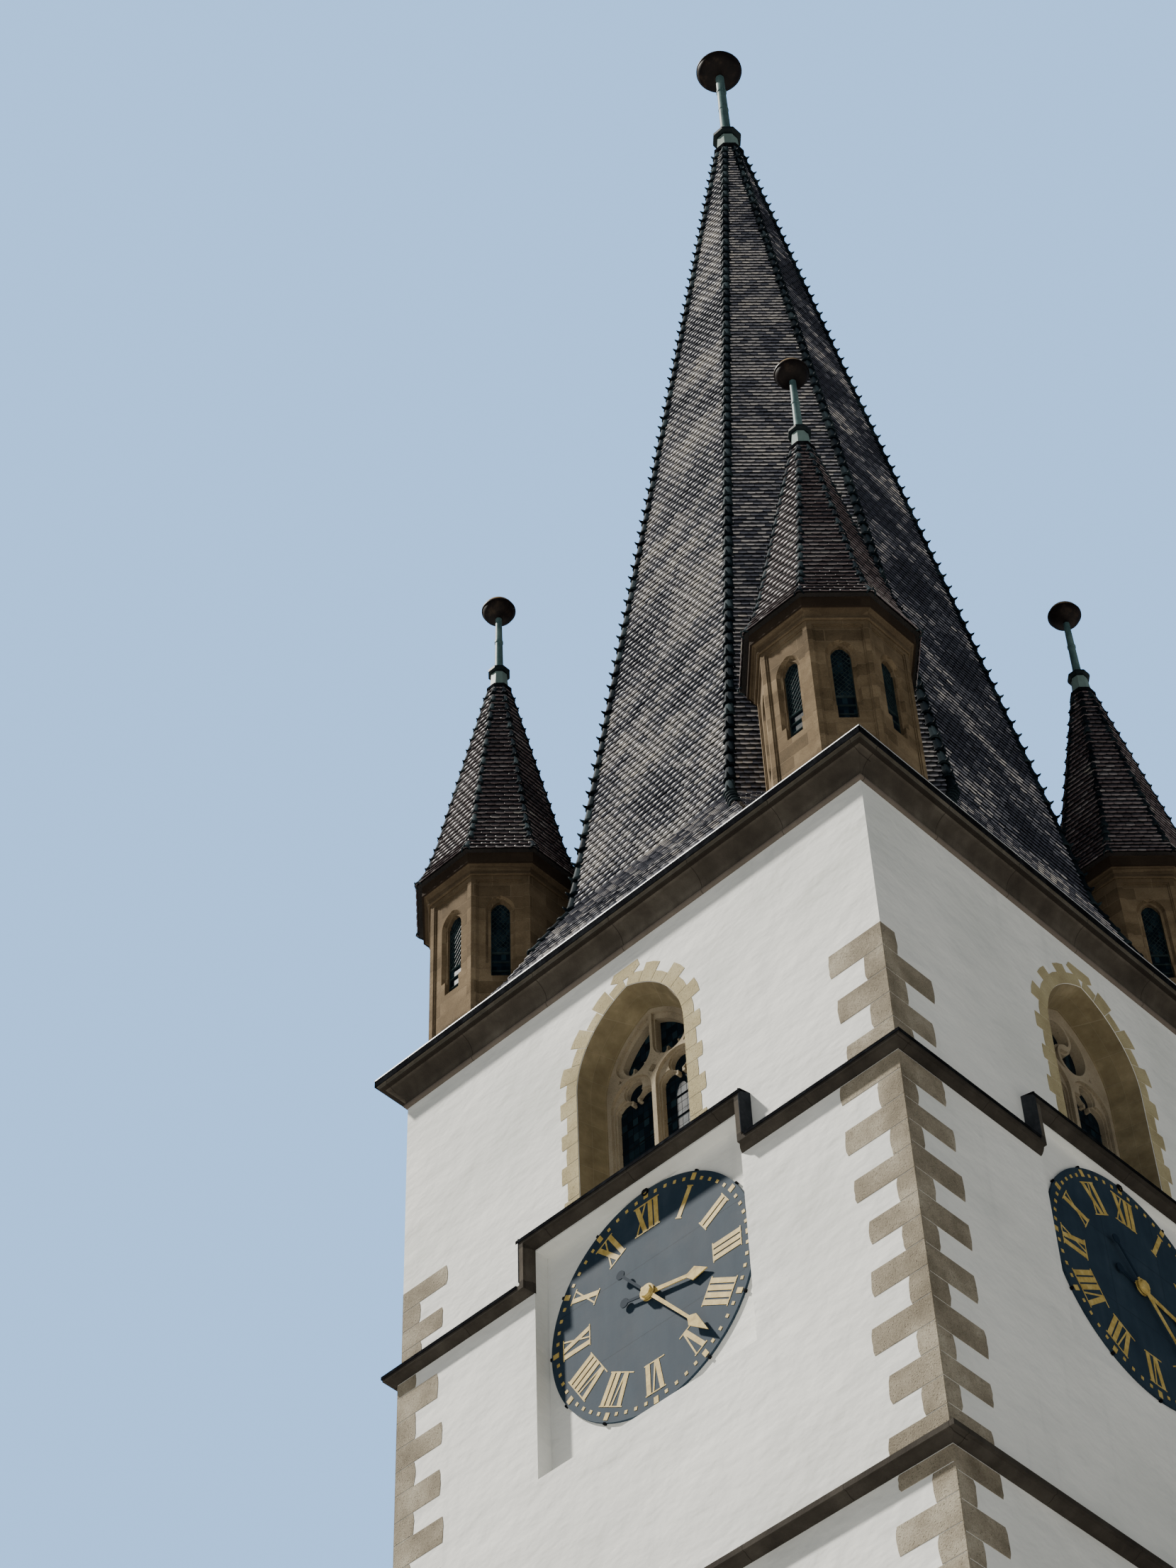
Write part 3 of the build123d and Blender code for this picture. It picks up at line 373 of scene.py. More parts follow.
def moulding_stone():
    """Dark brown weathered stone of the cornice and string courses, with a joint between its lengths."""
    stone = Finish("grey_stone", 0.06)
    x, y, z = stone.xyz()
    cloud = stone.noise(1.6, 7, 0.65)
    streaks = stone.noise(5, 5, 0.6, stretch=(1, 1, 0.3))
    grain = stone.noise(70, 4, 0.7)
    mix = cloud * 0.6 + streaks * 0.4
    brown = stone.tones(mix, MOULDING_STONE, (0.32, 0.5, 0.68))
    pale = stone.tones(mix, FASCIA_STONE, (0.32, 0.5, 0.68))
    # Painted shade in the cove under the fascia
    cove_shade = (z - cove_foot).ramp(0, 0.06) * (cove_head - z).ramp(0, 0.012)
    brown = stone.blend(cove_shade * 0.45, brown, (0.022, 0.018, 0.015))
    bead = (z > cornice_bottom - 0.01) * (z < bead_top)
    brown = stone.blend(bead * 0.5, brown, (0.19, 0.155, 0.13))
    colour = stone.blend(z > fascia_foot, brown, pale)
    on_string = (z < strings_head) * (z > strings_foot)
    on_leg = on_string * (z > legs_foot) * (z < legs_head)
    colour = stone.blend(on_string * 0.6 - on_leg * 0.45, colour, (0.015, 0.0135, 0.0125))
    under_fascia = abs(z - (fascia_foot - 0.001)) < fascia_groove
    groove = (abs(z - (bead_top + bead_groove)) < bead_groove).most(under_fascia)
    across = (x % moulding_length < moulding_joint) * (abs(y) > half_y - 0.05)
    along = (y % moulding_length < moulding_joint) * (abs(x) > half_x - 0.05)
    joint = across + along
    # Dark joints between the lengths, and painted shade in the grooves over the bead and under the fascia
    colour = stone.blend((joint * 0.6).most(groove * 0.85), colour, (0.014, 0.011, 0.009))
    return stone.finish(colour, 0.95, grain * 0.5 + cloud - joint - groove, 0.008)


drum_top = turret_top - 0.21
turret_fascia = turret_top - 0.119
# How far below the drum's top the painted shade under the eaves reaches
eave_shade_depth = 0.5
# Keeps the courses' run along a side over nought
course_start = 20
ashlar_length = 0.31
ashlar_height = 0.145
ashlar_joint = 0.004


def turret_stone():
    """Brown sandstone ashlar, its courses drawn along each of the eight sides."""
    stone = Finish("brown_sandstone", 0.06)
    x, y, z = stone.xyz()
    nx, ny, _ = stone.split(stone.add("NewGeometry", output="True Normal"))
    face = stone.vector(y * nx - x * ny + course_start, z - cornice_top, 0)
    block, joints = stone.ashlar(face, ashlar_length, ashlar_height, ashlar_joint)
    cloud = stone.noise(2.5, 7, 0.65)
    grain = stone.noise(80, 4, 0.7)
    colour = stone.tones(cloud * 0.6 + grain * 0.2 + block * 0.16, TURRET_STONE)
    # Painted shade under the eaves: darker up to the drum's top, and darker still on the turret's cornice
    # and its fascia
    painted_shade = (z - drum_top + eave_shade_depth).ramp(0, eave_shade_depth) * 0.35
    painted_shade = painted_shade + (z > drum_top) * 0.2 + (z > turret_fascia) * 0.35
    colour = stone.blend(painted_shade, colour, (0.014, 0.0095, 0.008))
    joint = joints * (z < drum_top)
    colour = stone.blend(joint * 0.34, colour, (0.24, 0.18, 0.115))
    return stone.finish(colour, 0.92, grain * 0.5 + cloud * 0.5 - joint * 0.5, 0.008)


def glazed_tile(name, stops, gloss=1.0, banded=True):
    """Fired clay with a worn glaze, each tile of its own tone; banded ones carry a painted shadow of the
    next row.
    """
    tile = Finish(name, 0.4 * gloss, **{"Coat Roughness": 0.3, "Coat Weight": 0.15 * gloss})
    cloud = tile.noise(14, 5, 0.65)
    grain = tile.noise(90, 4, 0.7)
    colour = tile.colours(tile.attribute("tone") * 0.8 + cloud * 0.25 - 0.02, stops)
    if banded:
        # Painted shadow: the upper part of each tile, under the next row, is darkened nearly to black
        painted_row_shadow = (tile.attribute("along") + cloud * 0.012).ramp(0.022, 0.034)
        colour = tile.blend(painted_row_shadow * 0.93, colour, (0.003, 0.003, 0.006))
    return tile.finish(colour, 0.34 + cloud * 0.3 + grain * 0.12, cloud * 0.8 + grain * 0.4, 0.0025)


def metal(name, palette, metallic=0.0, roughness=0.8):
    """Sheet metal with clouded patina; what isn't metallic has no sheen at all."""
    sheet = Finish(name, metallic, Metallic=metallic)
    cloud = sheet.noise(8, 6, 0.65)
    streaks = sheet.noise(16, 4, 0.6, stretch=(1, 1, 0.25))
    colour = sheet.tones(cloud * 0.6 + streaks * 0.4, palette)
    return sheet.finish(colour, roughness - 0.12 + cloud * 0.25, cloud, 0.003)


# Heights over the roof's top: the neck, the foot and head of the dark band, the ball's foot and its lip
spire_finial = (0.345, 0.34, 0.475, 1.905, spire_ball_level)
turret_finial = (0.247, 0.245, 0.335, 1.125, turret_ball_level)
turret_ball_head = 1.50


def finial_metal():
    """Verdigris on the necks and poles; the balls are golden over their lip, with painted shade nearly
    black below it.
    """
    sheet = Finish("patinated_metal", 0.08)
    x, y, z = sheet.xyz()
    cloud = sheet.noise(6, 6, 0.65)
    streaks = sheet.noise(9, 5, 0.6, stretch=(1, 1, 0.2))
    mix = cloud * 0.5 + streaks * 0.5
    on_turret = abs(x) > turret_x / 2
    spire_neck, spire_low, spire_high, spire_ball, spire_lip = [spire_top + rise for rise in spire_finial]
    neck, low, high, ball, lip = [turret_roof_top + rise for rise in turret_finial]
    pale = (z < spire_neck).least((z > spire_top - 0.1).most(z < neck))
    colour = sheet.blend(pale * 0.45, sheet.tones(mix, VERDIGRIS, (0.3, 0.5, 0.72)), (0.26, 0.34, 0.30))
    dark_band = ((z > spire_low) * (z < spire_high)).most((z > low) * (z < high) * on_turret)
    colour = sheet.blend(dark_band * 0.93, colour, (0.004, 0.006, 0.008))
    on_ball = (z > ball) * (z < turret_roof_top + turret_ball_head) * on_turret
    seam = spire_lip - on_ball * (spire_lip - lip)
    golden = sheet.tones(mix, OLD_GOLD, (0.3, 0.5, 0.72))
    # Painted shade: each ball is nearly black below its lip
    painted_shade = sheet.tones(mix, BALL_UNDERSIDE_SHADE, (0.35, 0.55, 0.75))
    balls = sheet.blend((z - seam).ramp(0.004, 0.012), painted_shade, golden)
    colour = sheet.blend((z > spire_ball).most(on_ball), colour, balls)
    return sheet.finish(colour, 0.36 + cloud * 0.25, mix, 0.004)


pane_width = 0.055
pane_height = 0.075
lead_width = 0.004


def window_glass():
    """Small old panes, each tilted a little in its lead."""
    glass = Finish("window_glass", 0.012)
    x, y, z = glass.xyz()
    along = x + y
    tint = glass.chance(Vector=glass.vector((along / pane_width).floor(), (z / pane_height).floor(), 0))
    lead = (along % pane_width < lead_width).most(z % pane_height < lead_width) * (z < cornice_top)
    colour = glass.blend(lead, glass.tones(tint, PANES, (0.0, 0.7, 1.0)), (0.006, 0.006, 0.007))
    wavy = glass.noise(20, 3, 0.5)
    return glass.finish(colour, 0.3 + lead * 0.4, tint * 0.15 + wavy * 0.3 + lead)


dial_sheet_half_width = 0.32
dial_sheet_half_height = 0.31
dial_seam = 0.004


def dial_paint():
    """Slate-blue paint on sheet metal, with the seams of the sheets."""
    paint = Finish("dial_paint", 0.07)
    x, y, z = paint.xyz()
    cloud = paint.noise(3, 6, 0.65)
    grain = paint.noise(60, 4, 0.6)
    streaks = paint.noise(8, 5, 0.6, stretch=(1, 1, 0.2))
    along = (abs(y) > half_x) * x + (abs(y) < half_x) * y
    upright = abs(abs(along) - dial_sheet_half_width) < dial_seam
    upper = abs(z - (dial_level + dial_sheet_half_height)) < dial_seam
    lower = abs(z - (dial_level - dial_sheet_half_height)) < dial_seam
    seam = upright.most(upper).most(lower)
    colour = paint.tones(cloud * 0.6 + streaks * 0.4, DIAL_BLUE)
    colour = paint.blend(seam * 0.3, colour, (0.008, 0.014, 0.022))
    return paint.finish(colour, 0.62 + cloud * 0.16, cloud * 0.3 + grain * 0.1 - seam * 0.5, 0.003)


tail_start = 0.075


def hand_gilding(side, angle, name):
    """Old gilding on the pointer; the tail and its disc are painted like the dial."""
    gilt = Finish(name, 0.06)
    x, y, z = gilt.xyz()
    turn = math.radians(SIDES[side][0])
    angle = math.radians(angle)
    across = x * math.cos(turn) + y * math.sin(turn)
    tail = across * math.sin(angle) + (z - dial_level) * math.cos(angle) < -tail_start
    cloud = gilt.noise(18, 5, 0.6)
    colour = gilt.blend(tail, gilt.tones(cloud, GILT), (0.010, 0.020, 0.034))
    return gilt.finish(colour, 0.55 + tail * 0.2, cloud, 0.001)


def gilding():
    """Old gilding of the numerals, worn in small spots."""
    gilt = Finish("gilding", 0.06)
    cloud = gilt.noise(14, 5, 0.6)
    worn = gilt.noise(40, 4, 0.7)
    return gilt.finish(gilt.tones(cloud * 0.7 + worn * 0.3, GILT), 0.5, worn, 0.0008)


board_width = 0.16
board_gap = 0.004


def timber(name, palette):
    """Boards with a grain along them."""
    wood = Finish(name)
    x, y, z = wood.xyz()
    tint = wood.chance(W=(x / board_width).floor())
    grain = wood.noise(6, 6, 0.6, stretch=(9, 1, 0.6))
    gap = x % board_width < board_gap
    colour = wood.tones(grain * 0.7 + tint * 0.3, palette)
    colour = wood.blend(gap, colour, (0.01, 0.008, 0.006))
    return wood.finish(colour, 0.62, grain - gap, 0.003)


MATERIALS = {
    "lime_plaster": lime_plaster(),
    "grey_stone": moulding_stone(),
    "tracery_stone": pitted_stone("tracery_stone", TRACERY_STONE),
    "brown_sandstone": turret_stone(),
    # Under the tiles the roof's boards are painted nearly black: painted shade between the tiles
    "glazed_tile": pitted_stone("roof_boarding_shade", BOARDING_SHADE),
    "patinated_metal": finial_metal(),
    "window_glass": window_glass(),
    "dial_paint": dial_paint(),
    "gilding": gilding(),
    "oak_door": timber("oak_door", OAK),
    "floor_stone": pitted_stone("floor_stone", FLOOR_STONE),
    "floor_boards": timber("floor_boards", PINE),
}
quoin_stone = pitted_stone("quoin_stone", QUOIN_STONE)
surround_stone = pitted_stone("surround_stone", SURROUND_STONE)
black_metal = metal("black_metal", BLACK_SHEET)
slate_metal = metal("slate_metal", SLATE_SHEET)
lattice_metal = metal("lattice_lead", LEAD)
# Painted highlight: the cornice's rim is pale where the black sheet's top edge catches the light
rim_highlight = metal("rim_highlight", RIM_HIGHLIGHT_SHEET, metallic=0.3, roughness=0.5)
roof_tile = glazed_tile("roof_tile", ROOF_TILES)
turret_tile = glazed_tile("turret_tile", TURRET_TILES)
ridge_tile = glazed_tile("ridge_tile", RIDGE_TILES, gloss=0.05, banded=False)

slots = {part["node"]: part["material_slot"] for part in frame["record"]["subparts"]}
hands = {f"{hand}_hand_{side}": (side, angle) for side in SIDES for hand, angle in hand_angles.items()}
for name, node in frame["nodes"].items():
    finish = hand_gilding(*hands[name], name) if name in hands else MATERIALS[slots[name]]
    node.data.materials.clear()
    node.data.materials.append(finish)


# Making and placing


def piece(name, form, finish, body="tower"):
    """A new object from a bmesh or a mesh, with its finish, riding on a body."""
    mesh = form
    if isinstance(form, bmesh.types.BMesh):
        bmesh.ops.recalc_face_normals(form, faces=form.faces)
        mesh = bpy.data.meshes.new(name)
        form.to_mesh(mesh)
        form.free()
    thing = bpy.data.objects.new(name, mesh)
    mesh.materials.append(finish)
    bpy.context.scene.collection.objects.link(thing)
    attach(thing, body)
    return thing


def repeated(name, pattern, places, tones=None):
    """One mesh with a copy of the pattern at each place, a 4x4 matrix, and a tone for each copy."""
    bmesh.ops.recalc_face_normals(pattern, faces=pattern.faces)
    pattern.verts.index_update()
    places = np.array(places)
    count = len(places)
    corners = np.array([vert.co[:] for vert in pattern.verts])
    loops = np.array([vert.index for face in pattern.faces for vert in face.verts])
    sizes = np.array([len(face.verts) for face in pattern.faces])
    starts = np.cumsum(sizes) - sizes
    copies = np.arange(count)[:, None]
    spots = np.einsum("nij,mj->nmi", places[:, :3, :3], corners) + places[:, None, :3, 3]
    mesh = bpy.data.meshes.new(name)
    mesh.vertices.add(count * len(corners))
    mesh.vertices.foreach_set("co", spots.ravel())
    mesh.loops.add(count * len(loops))
    mesh.loops.foreach_set("vertex_index", (loops + copies * len(corners)).ravel())
    mesh.polygons.add(count * len(sizes))
    mesh.polygons.foreach_set("loop_start", (starts + copies * len(loops)).ravel())
    mesh.update(calc_edges=True)
    if tones is None:
        tones = rng.random(count)
    tone = mesh.attributes.new("tone", "FLOAT", "POINT")
    tone.data.foreach_set("value", np.repeat(np.clip(tones, 0, 1), len(corners)))
    layer = pattern.verts.layers.float.get("along")
    if layer:
        along = mesh.attributes.new("along", "FLOAT", "POINT")
        along.data.foreach_set("value", np.tile([vert[layer] for vert in pattern.verts], count))
    pattern.free()
    return mesh


def frame_at(origin, x, y, z):
    """Matrix that carries local x, y and z to the given directions at an origin."""
    matrix = Matrix((x, y, z)).transposed().to_4x4()
    matrix.translation = origin
    return matrix


def directions(side):
    """To the right seen from outside, and outwards."""
    turn = math.radians(SIDES[side][0])
    right = Vector((math.cos(turn), math.sin(turn), 0))
    return right, right.cross(UP)


def on_wall(side, depth=0.0):
    """Matrix of a side: x to the right seen from outside, y up from the ground, z out from its face."""
    right, outward = directions(side)
    return frame_at(outward * (SIDES[side][2] - depth), right, UP, outward)


def section_of(side):
    """Matrix for profiles that run along a wall: x outwards from its face, y up, z to the left."""
    right, outward = directions(side)
    return frame_at(on_wall(side).translation, outward, UP, -right)


def plan_of(side):
    """Matrix for profiles that run up a wall: x to the right, y outwards from its face, z downwards."""
    right, outward = directions(side)
    return frame_at(on_wall(side).translation, right, outward, -UP)


def plate(form, outline, low, high, matrix=None, bevel=0.0):
    """Adds to a bmesh a plate with an outline in local x and y, from z low to z high."""
    corners = [form.verts.new((x, y, low)) for x, y in outline]
    face = form.faces.new(corners)
    grown = bmesh.ops.extrude_face_region(form, geom=[face])
    top = [item for item in grown["geom"] if isinstance(item, bmesh.types.BMVert)]
    bmesh.ops.translate(form, verts=top, vec=(0, 0, high - low))
    every = corners + top
    if bevel:
        edges = {edge for vert in top for edge in vert.link_edges if all(end in top for end in edge.verts)}
        made = bmesh.ops.bevel(
            form, geom=list(edges), offset=bevel, affect="EDGES", segments=1, profile=0.5, material=-1
        )
        every = corners + [vert for vert in top if vert.is_valid] + made["verts"]
    if matrix:
        bmesh.ops.transform(form, matrix=matrix, verts=list({vert for vert in every if vert.is_valid}))
    return form


def box(form, low, high, matrix=None, bevel=0.0):
    """Adds a block between two corners in local x, y and z."""
    (x0, y0, z0), (x1, y1, z1) = low, high
    return plate(form, ((x0, y0), (x1, y0), (x1, y1), (x0, y1)), z0, z1, matrix, bevel)


def ring(centre, level, half_across, half_along, flat_x, flat_y):
    """Corners of an octagon ring, from the left end of its front side round to the right."""
    plan = (
        (-flat_x, -half_along), (flat_x, -half_along), (half_across, -flat_y), (half_across, flat_y),
        (flat_x, half_along), (-flat_x, half_along), (-half_across, flat_y), (-half_across, -flat_y),
    )
    return [Vector((centre[0] + x, centre[1] + y, level)) for x, y in plan]


def regular_ring(centre, level, apothem):
    flat = apothem * math.tan(math.pi / 8)
    return ring(centre, level, apothem, apothem, flat, flat)


def facets(lower, upper):
    """The eight facets between two rings, each as its four corners."""
    return [(lower[k], lower[(k + 1) % 8], upper[k], upper[(k + 1) % 8]) for k in range(8)]


# Roof tiles

tile_pitch = 0.0735
tile_width = 0.08
tile_length = 0.098
tile_thickness = 0.010
tile_lift = 0.022
tile_gap = 0.0004
tail_length = tile_width * 0.11
tail_angles = (-62, 0, 62)
tile_past_ridge = 0.006
narrowest_tile = 0.2
# How unevenly a tile lies: rocked sideways, nodding, twisted and slipped
tile_unevenness = np.array((0.014, 0.018, 0.012, 0.0018))


def tile_pattern():
    """Beavertail tile from its rounded tail at y = 0 up to its head, tilted so that its tail is proud."""
    form = bmesh.new()
    half = tile_width / 2 - tile_gap
    tail = []
    for angle in np.radians(tail_angles):
        tail.append((half * math.sin(angle), tail_length - tail_length * math.cos(angle)))
    outline = [(-half, tail_length), *tail, (half, tail_length), (half, tile_length), (-half, tile_length)]
    plate(form, outline, -tile_thickness, 0)
    along = form.verts.layers.float.new("along")
    slope = (tile_lift - tile_thickness / 2) / tile_length
    for vert in form.verts:
        # How far along the tile a point lies, for its painted row shadow; the underside counts as further
        # along and is shaded too
        vert[along] = vert.co.y - 3 * vert.co.z
        vert.co.z += tile_lift - slope * vert.co.y
    return form


def tile_rows(low_left, low_right, high_left, high_right):
    """Places of the tiles on a facet, in rows shifted by half a tile, and cut to width at the ridges."""
    low_middle = (low_left + low_right) / 2
    high_middle = (high_left + high_right) / 2
    across = (low_right - low_left).normalized()
    slope = high_middle - low_middle
    rows = max(1, round(slope.length / tile_pitch))
    up = slope.normalized()
    normal = across.cross(up)
    places = []
    for row in range(rows):
        share = row / rows
        half = ((low_right - low_left).length * (1 - share) + (high_right - high_left).length * share) / 2
        reach = int(half / tile_width) + 1
        middle = low_middle + slope * share
        for step in range(-reach - row % 2, reach + 1):
            centre = step + 0.5 * (row % 2)
            left = max((centre - 0.5) * tile_width, -half - tile_past_ridge)
            right = min((centre + 0.5) * tile_width, half + tile_past_ridge)
            cut = (right - left) / tile_width
            if cut < narrowest_tile:
                continue
            rocked, nodding, twisted, slipped = rng.normal(0, 1, 4) * tile_unevenness
            out = (normal + across * rocked + up * nodding).normalized()
            side = (across - out * across.dot(out) + up * twisted).normalized()
            spot = middle + across * ((left + right) / 2) + up * slipped
            places.append(frame_at(spot, side * cut, out.cross(side), out))
    return places


def cloudy_tones(places, spread, centre, wave=0.12):
    """A tone for each tile: mostly chance, and partly broad slanting patches laid in one go."""
    x, y, z = np.array([place.translation for place in places]).T
    slant = np.sin(z * 2.3 + (x + y) * 3.1 + 1.7 * np.sin(z * 0.9))
    patch = np.sin(z * 5.9 - x * 4.3 + 2.0 * np.sin(y * 3.7 + z * 1.7))
    return rng.beta(2.0, 3.2, len(places)) * spread + centre + wave * (slant * 0.5 + patch * 0.6)


# A ridge tile's section as (height, radius), and its point as (reach, height, half-width, half-thickness)
RIDGE_OUTSIDE = ((0.0, 0.060), (0.022, 0.061), (0.030, 0.052), (0.235, 0.041))
RIDGE_INSIDE = ((0.235, 0.030), (0.0, 0.046))
RIDGE_POINT = ((0.0, 0.012, 0.018, 0.020), (0.022, 0.015, 0.012, 0.014), (0.040, 0.025, 0.005, 0.006))
ridge_sweep = math.radians(200)
point_foot = 0.052
ridge_wobble = 0.02
ridge_sunk = 0.012
spire_ridge_pitch = 0.2
turret_ridge_pitch = 0.17
turret_ridge_size = 0.72
turret_ridge_point = 0.55


def ridge_pattern(point=1.0):
    """Half-round ridge tile along z with a rolled lower rim and, if wanted, a point on its crest at x."""
    form = bmesh.new()
    section = [form.verts.new((radius, 0, height)) for height, radius in RIDGE_OUTSIDE + RIDGE_INSIDE]
    face = form.faces.new(section)
    start = Matrix.Rotation(-ridge_sweep / 2, 3, "Z")
    bmesh.ops.rotate(form, verts=form.verts, cent=(0, 0, 0), matrix=start)
    bmesh.ops.spin(
        form, geom=[face], axis=(0, 0, 1), cent=(0, 0, 0), steps=6, angle=ridge_sweep, use_duplicate=False
    )
    if not point:
        return form
    rims = []
    for reach, z, wide, thick in RIDGE_POINT:
        x = point_foot + reach * point
        lean = thick * 0.4
        corners = ((x, -wide, z), (x + lean, 0, z - thick), (x, wide, z), (x - lean, 0, z + thick))
        rims.append([form.verts.new(corner) for corner in corners])
    form.faces.new(rims[0])
    form.faces.new(rims[-1])
    for first, second in zip(rims, rims[1:]):
        for k in range(4):
            form.faces.new((first[k], first[(k + 1) % 4], second[(k + 1) % 4], second[k]))
    return form


def ridge_places(low, high, outward, pitch, size=1.0):
    """Places of the ridge tiles from the foot of a ridge to its head."""
    along = high - low
    count = max(1, round(along.length / pitch))
    up = along.normalized()
    out = (outward - up * outward.dot(up)).normalized()
    places = []
    for k in range(count):
        wobble = rng.normal(0, ridge_wobble)
        side = (up.cross(out) + out * wobble).normalized()
        foot = low + along * (k / count) - out * ridge_sunk
        places.append(frame_at(foot, side.cross(up) * size, side * size, up * size))
    return places


def ridges(lower, upper, centre, pitch, size=1.0):
    """Ridge places along the eight corners between two rings."""
    places = []
    for low, high in zip(lower, upper):
        outward = Vector((low.x - centre[0], low.y - centre[1], 0))
        places += ridge_places(low, high, outward, pitch, size)
    return places


def tiling(name, pattern, places, finish, tones=None):
    """A piece of tiles, all of one pattern."""
    piece(name, repeated(name, pattern, places, tones), finish)


# The spire's slope lets it pass just inside the turrets' eaves
axis = (0, 0)
spire_height = spire_top - cornice_top
spire_shoulder = (turret_x + turret_y) / math.sqrt(2) - turret_eaves - spire_gap
spire_slope = (spire_shoulder - spire_tip) / (spire_height - (turret_top - cornice_top))
spire_foot_apothem = spire_tip + spire_slope * (spire_height - skirt_height)
spire_foot = regular_ring(axis, cornice_top + skirt_height, spire_foot_apothem)
spire_head = regular_ring(axis, spire_top, spire_tip)
skirt = []
for level, out, past in skirt_rings:
    flat_x = turret_x - turret_apothem + past
    flat_y = turret_y - turret_apothem + past
    skirt.append(ring(axis, cornice_top + level, half_x + out, half_y + out, flat_x, flat_y))
skirt.append(spire_foot)
turret_clearance = turret_apothem - 0.03


def beside_turrets(place):
    """Whether a tile of the skirt lies outside the turrets, which stand through it."""
    x = abs(abs(place.translation.x) - turret_x)
    y = abs(abs(place.translation.y) - turret_y)
    return max(x, y) > turret_clearance or x + y > turret_clearance * math.sqrt(2)


# How far chance spreads the tones, their middle, and how strongly broad patches show
skirt_tones = (0.8, 0.1)
turret_tones = (0.66, 0.12, 0.2)
facet_spread = 0.62
facet_tones = {heading: (0.22, 0.28) if heading in SIDES else (0.28, 0.1) for heading in HEADINGS}
# Painted shade: the right-hand facet, turned away from the sun, gets darker tones
facet_tones["right"] = (0.02, 0.28)
for heading, facet in zip(HEADINGS, facets(spire_foot, spire_head)):
    places = tile_rows(*facet)
    tones = cloudy_tones(places, facet_spread, *facet_tones[heading])
    tiling(f"spire_tiles_{heading}", tile_pattern(), places, roof_tile, tones)

places = []
for lower, upper in zip(skirt, skirt[1:]):
    for facet in facets(lower, upper):
        places += tile_rows(*facet)
places = [place for place in places if beside_turrets(place)]
tiling("skirt_tiles", tile_pattern(), places, roof_tile, cloudy_tones(places, *skirt_tones))
places = ridges(spire_foot, spire_head, axis, spire_ridge_pitch)
tiling("spire_ridge_tiles", ridge_pattern(), places, ridge_tile)
places = ridges(*skirt[2:], axis, turret_ridge_pitch)
tiling("skirt_ridge_tiles", ridge_pattern(0), places, ridge_tile)

for corner, (across, along) in TURRETS.items():
    centre = (across * turret_x, along * turret_y)
    rings = [regular_ring(centre, turret_top + level, apothem) for level, apothem in turret_bends]
    rings.append(regular_ring(centre, turret_roof_top, turret_tip))
    places = []
    hips = []
    for lower, upper in zip(rings, rings[1:]):
        for facet in facets(lower, upper):
            places += tile_rows(*facet)
        hips += ridges(lower, upper, centre, turret_ridge_pitch, turret_ridge_size)
    tones = cloudy_tones(places, *turret_tones)
    tiling(f"turret_tiles_{corner}", tile_pattern(), places, turret_tile, tones)
    tiling(f"turret_ridge_tiles_{corner}", ridge_pattern(turret_ridge_point), hips, ridge_tile)


# How far a tip's cap stands out from the roof, its height to each side of the top, and its rounding
spire_cap = (0.045, 0.035)
turret_cap = (0.028, 0.022)
cap_round = 0.006


def roof_tip_caps():
    """Dark sheet-metal caps round the tips of the roofs."""
    form = bmesh.new()
    tips = [(axis, spire_top, spire_tip, spire_cap)]
    for across, along in TURRETS.values():
        tips.append(((across * turret_x, along * turret_y), turret_roof_top, turret_tip, turret_cap))
    for centre, level, tip, (out, rise) in tips:
        outline = [(corner.x, corner.y) for corner in regular_ring(centre, 0, tip + out)]
        plate(form, outline, level - rise, level + rise, bevel=cap_round)
    return form


piece("roof_tip_caps", roof_tip_caps(), black_metal)


# Stones set flush in the plaster

stone_proud = 0.003
stone_sunk = -0.01
stone_arris = 0.0015
stone_lap = 0.001
quoin_joint = 0.006
quoin_heights = (0.19, 0.24)
long_quoins = (0.42, 0.54)
short_quoins = (0.15, 0.22)
least_quoin = 0.06
quoin_stop = 0.05
# How high the quoins go on the belfry, and in how many stones
tall_quoins = (1.185, 5)
low_quoins = (0.775, 4)
surround_joint = 0.005
surround_unevenness = (-0.008, 0.012)
jamb_heights = (0.15, 0.18, 0.17, 0.17, 0.15, 0.165, 0.165)
long_jamb = 0.72
short_jamb = 0.665
arch_stones_each_side = 7
arch_joint_share = 0.015
long_arch = 0.18
short_arch = 0.10
apex_arch = 0.105
arch_bulge = 0.004
apex_stone = ((-0.07, 0.08), (0.07, 0.08), (0.15, 0.13), (0.13, 0.2), (-0.12, 0.2), (-0.16, 0.13))


def ragged_block(form, matrix, x0, x1, y0, y1, ragged=0.008, rubbed=0.012):
    """A stone with its corners rubbed, and its end at x1 lapped unevenly by the plaster."""
    steps = 5
    end = []
    for k in range(steps + 1):
        share = k / steps
        droop = rubbed * (abs(2 * share - 1) ** 3)
        end.append((x1 - math.copysign(droop + rng.uniform(0, ragged), x1 - x0), y0 + (y1 - y0) * share))
    plate(form, [(x0, y0), *end, (x0, y1)], stone_sunk, stone_proud, matrix, stone_arris)


